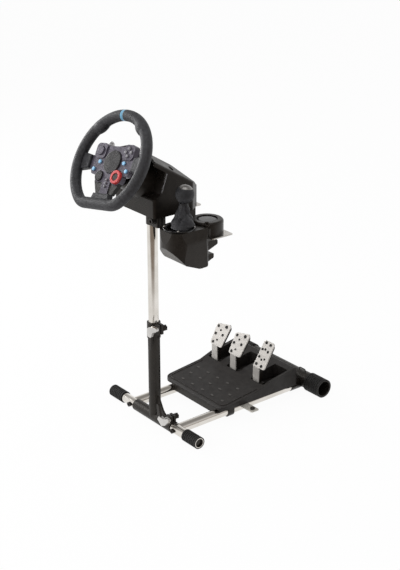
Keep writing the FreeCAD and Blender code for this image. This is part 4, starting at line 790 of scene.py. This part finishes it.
def seen(add, path):
    """1 where the eye or a reflection looks, and 0 for even light."""
    return add("ShaderNodeMath", {0: path["Is Camera Ray"], 1: path["Is Glossy Ray"]},
               operation="MAXIMUM").outputs[0]


def room_colour(add, share):
    """White that turns to the brown of the room behind the lamps."""
    mix = add("ShaderNodeMixRGB", {"Fac": share, "Color1": (1, 1, 1, 1), "Color2": ROOM_BROWN})
    return mix.outputs["Color"]


def floor_material():
    """Pale floor that shows white, keeps a soft shadow and ends in front of the lamps."""
    material = bpy.data.materials.new("WhiteFloor")
    add = shade_tree(material)
    path = add("ShaderNodeLightPath").outputs
    point = add("ShaderNodeNewGeometry").outputs["Position"]
    dim = times(add, front_share(add, point, *FLOOR_EDGE), path["Is Glossy Ray"])
    glow = add("ShaderNodeEmission", {"Color": room_colour(add, dim)})
    matt = add("ShaderNodeBsdfDiffuse", {"Color": FLOOR_PAINT})
    share = times(add, seen(add, path), FLOOR_GLOW)
    mix = add("ShaderNodeMixShader", {"Fac": share, 1: matt.outputs[0], 2: glow.outputs[0]})
    add("ShaderNodeOutputMaterial", {"Surface": mix.outputs[0]})
    return material


def make_floor():
    """Level floor under the stand."""
    mesh = bpy.data.meshes.new("floor")
    corners = [(x * FLOOR_HALF, y * FLOOR_HALF, 0) for x, y in ((-1, -1), (1, -1), (1, 1), (-1, 1))]
    mesh.from_pydata(corners, [], [(0, 1, 2, 3)])
    mesh.materials.append(floor_material())
    obj = bpy.data.objects.new("floor", mesh)
    bpy.context.scene.collection.objects.link(obj)


def make_world():
    """White all round for the eye, a dim room in front for reflections, and even light."""
    world = bpy.data.worlds.new("Studio")
    bpy.context.scene.world = world
    add = shade_tree(world)
    path = add("ShaderNodeLightPath").outputs
    way = add("ShaderNodeTexCoord").outputs["Generated"]
    height = add("ShaderNodeSeparateXYZ", {"Vector": way}).outputs["Z"]
    low = smooth_step(add, height, *ROOM_TOP)
    dim = times(add, times(add, front_share(add, way, *ROOM_FRONT), low), path["Is Glossy Ray"])
    overhead = times(add, smooth_step(add, height, *CEILING_RISE), path["Is Glossy Ray"])
    sky = add("ShaderNodeMixRGB", {"Fac": overhead, "Color1": room_colour(add, dim), "Color2": CEILING})
    even = add("ShaderNodeBackground", {"Color": EVEN_LIGHT})
    room = add("ShaderNodeBackground", {"Color": sky.outputs["Color"]})
    mix = add("ShaderNodeMixShader", {"Fac": seen(add, path), 1: even.outputs[0], 2: room.outputs[0]})
    add("ShaderNodeOutputWorld", {"Surface": mix.outputs[0]})


def make_lamps():
    """Soft lamps that all point at one place."""
    for name, (at, width, watts) in LAMPS.items():
        lamp = bpy.data.lights.new(name, "AREA")
        lamp.size = width
        lamp.energy = watts
        obj = bpy.data.objects.new(name, lamp)
        obj.location = at
        obj.rotation_euler = (Vector(LAMP_AIM) - Vector(at)).to_track_quat("-Z", "Y").to_euler()
        bpy.context.scene.collection.objects.link(obj)


def make_camera():
    """Camera solved from the photo."""
    lens = bpy.data.cameras.new("photo_camera")
    lens.sensor_width = SENSOR
    lens.lens = FOCAL_PX * SENSOR / PHOTO_H
    camera = bpy.data.objects.new("photo_camera", lens)
    camera.location = CAMERA_AT
    camera.rotation_euler = (math.radians(90 - CAMERA_DOWN), 0, math.radians(CAMERA_SIDE))
    bpy.context.scene.collection.objects.link(camera)
    bpy.context.scene.camera = camera


dress_solids()
make_grip()
make_boot()
make_inlay()
make_screws()
make_heel_bead()
make_springs()
make_sleeves()
make_keeper()
make_edge_highlight()

bpy.context.scene.view_settings.view_transform = "Standard"
make_world()
make_floor()
make_lamps()
make_camera()
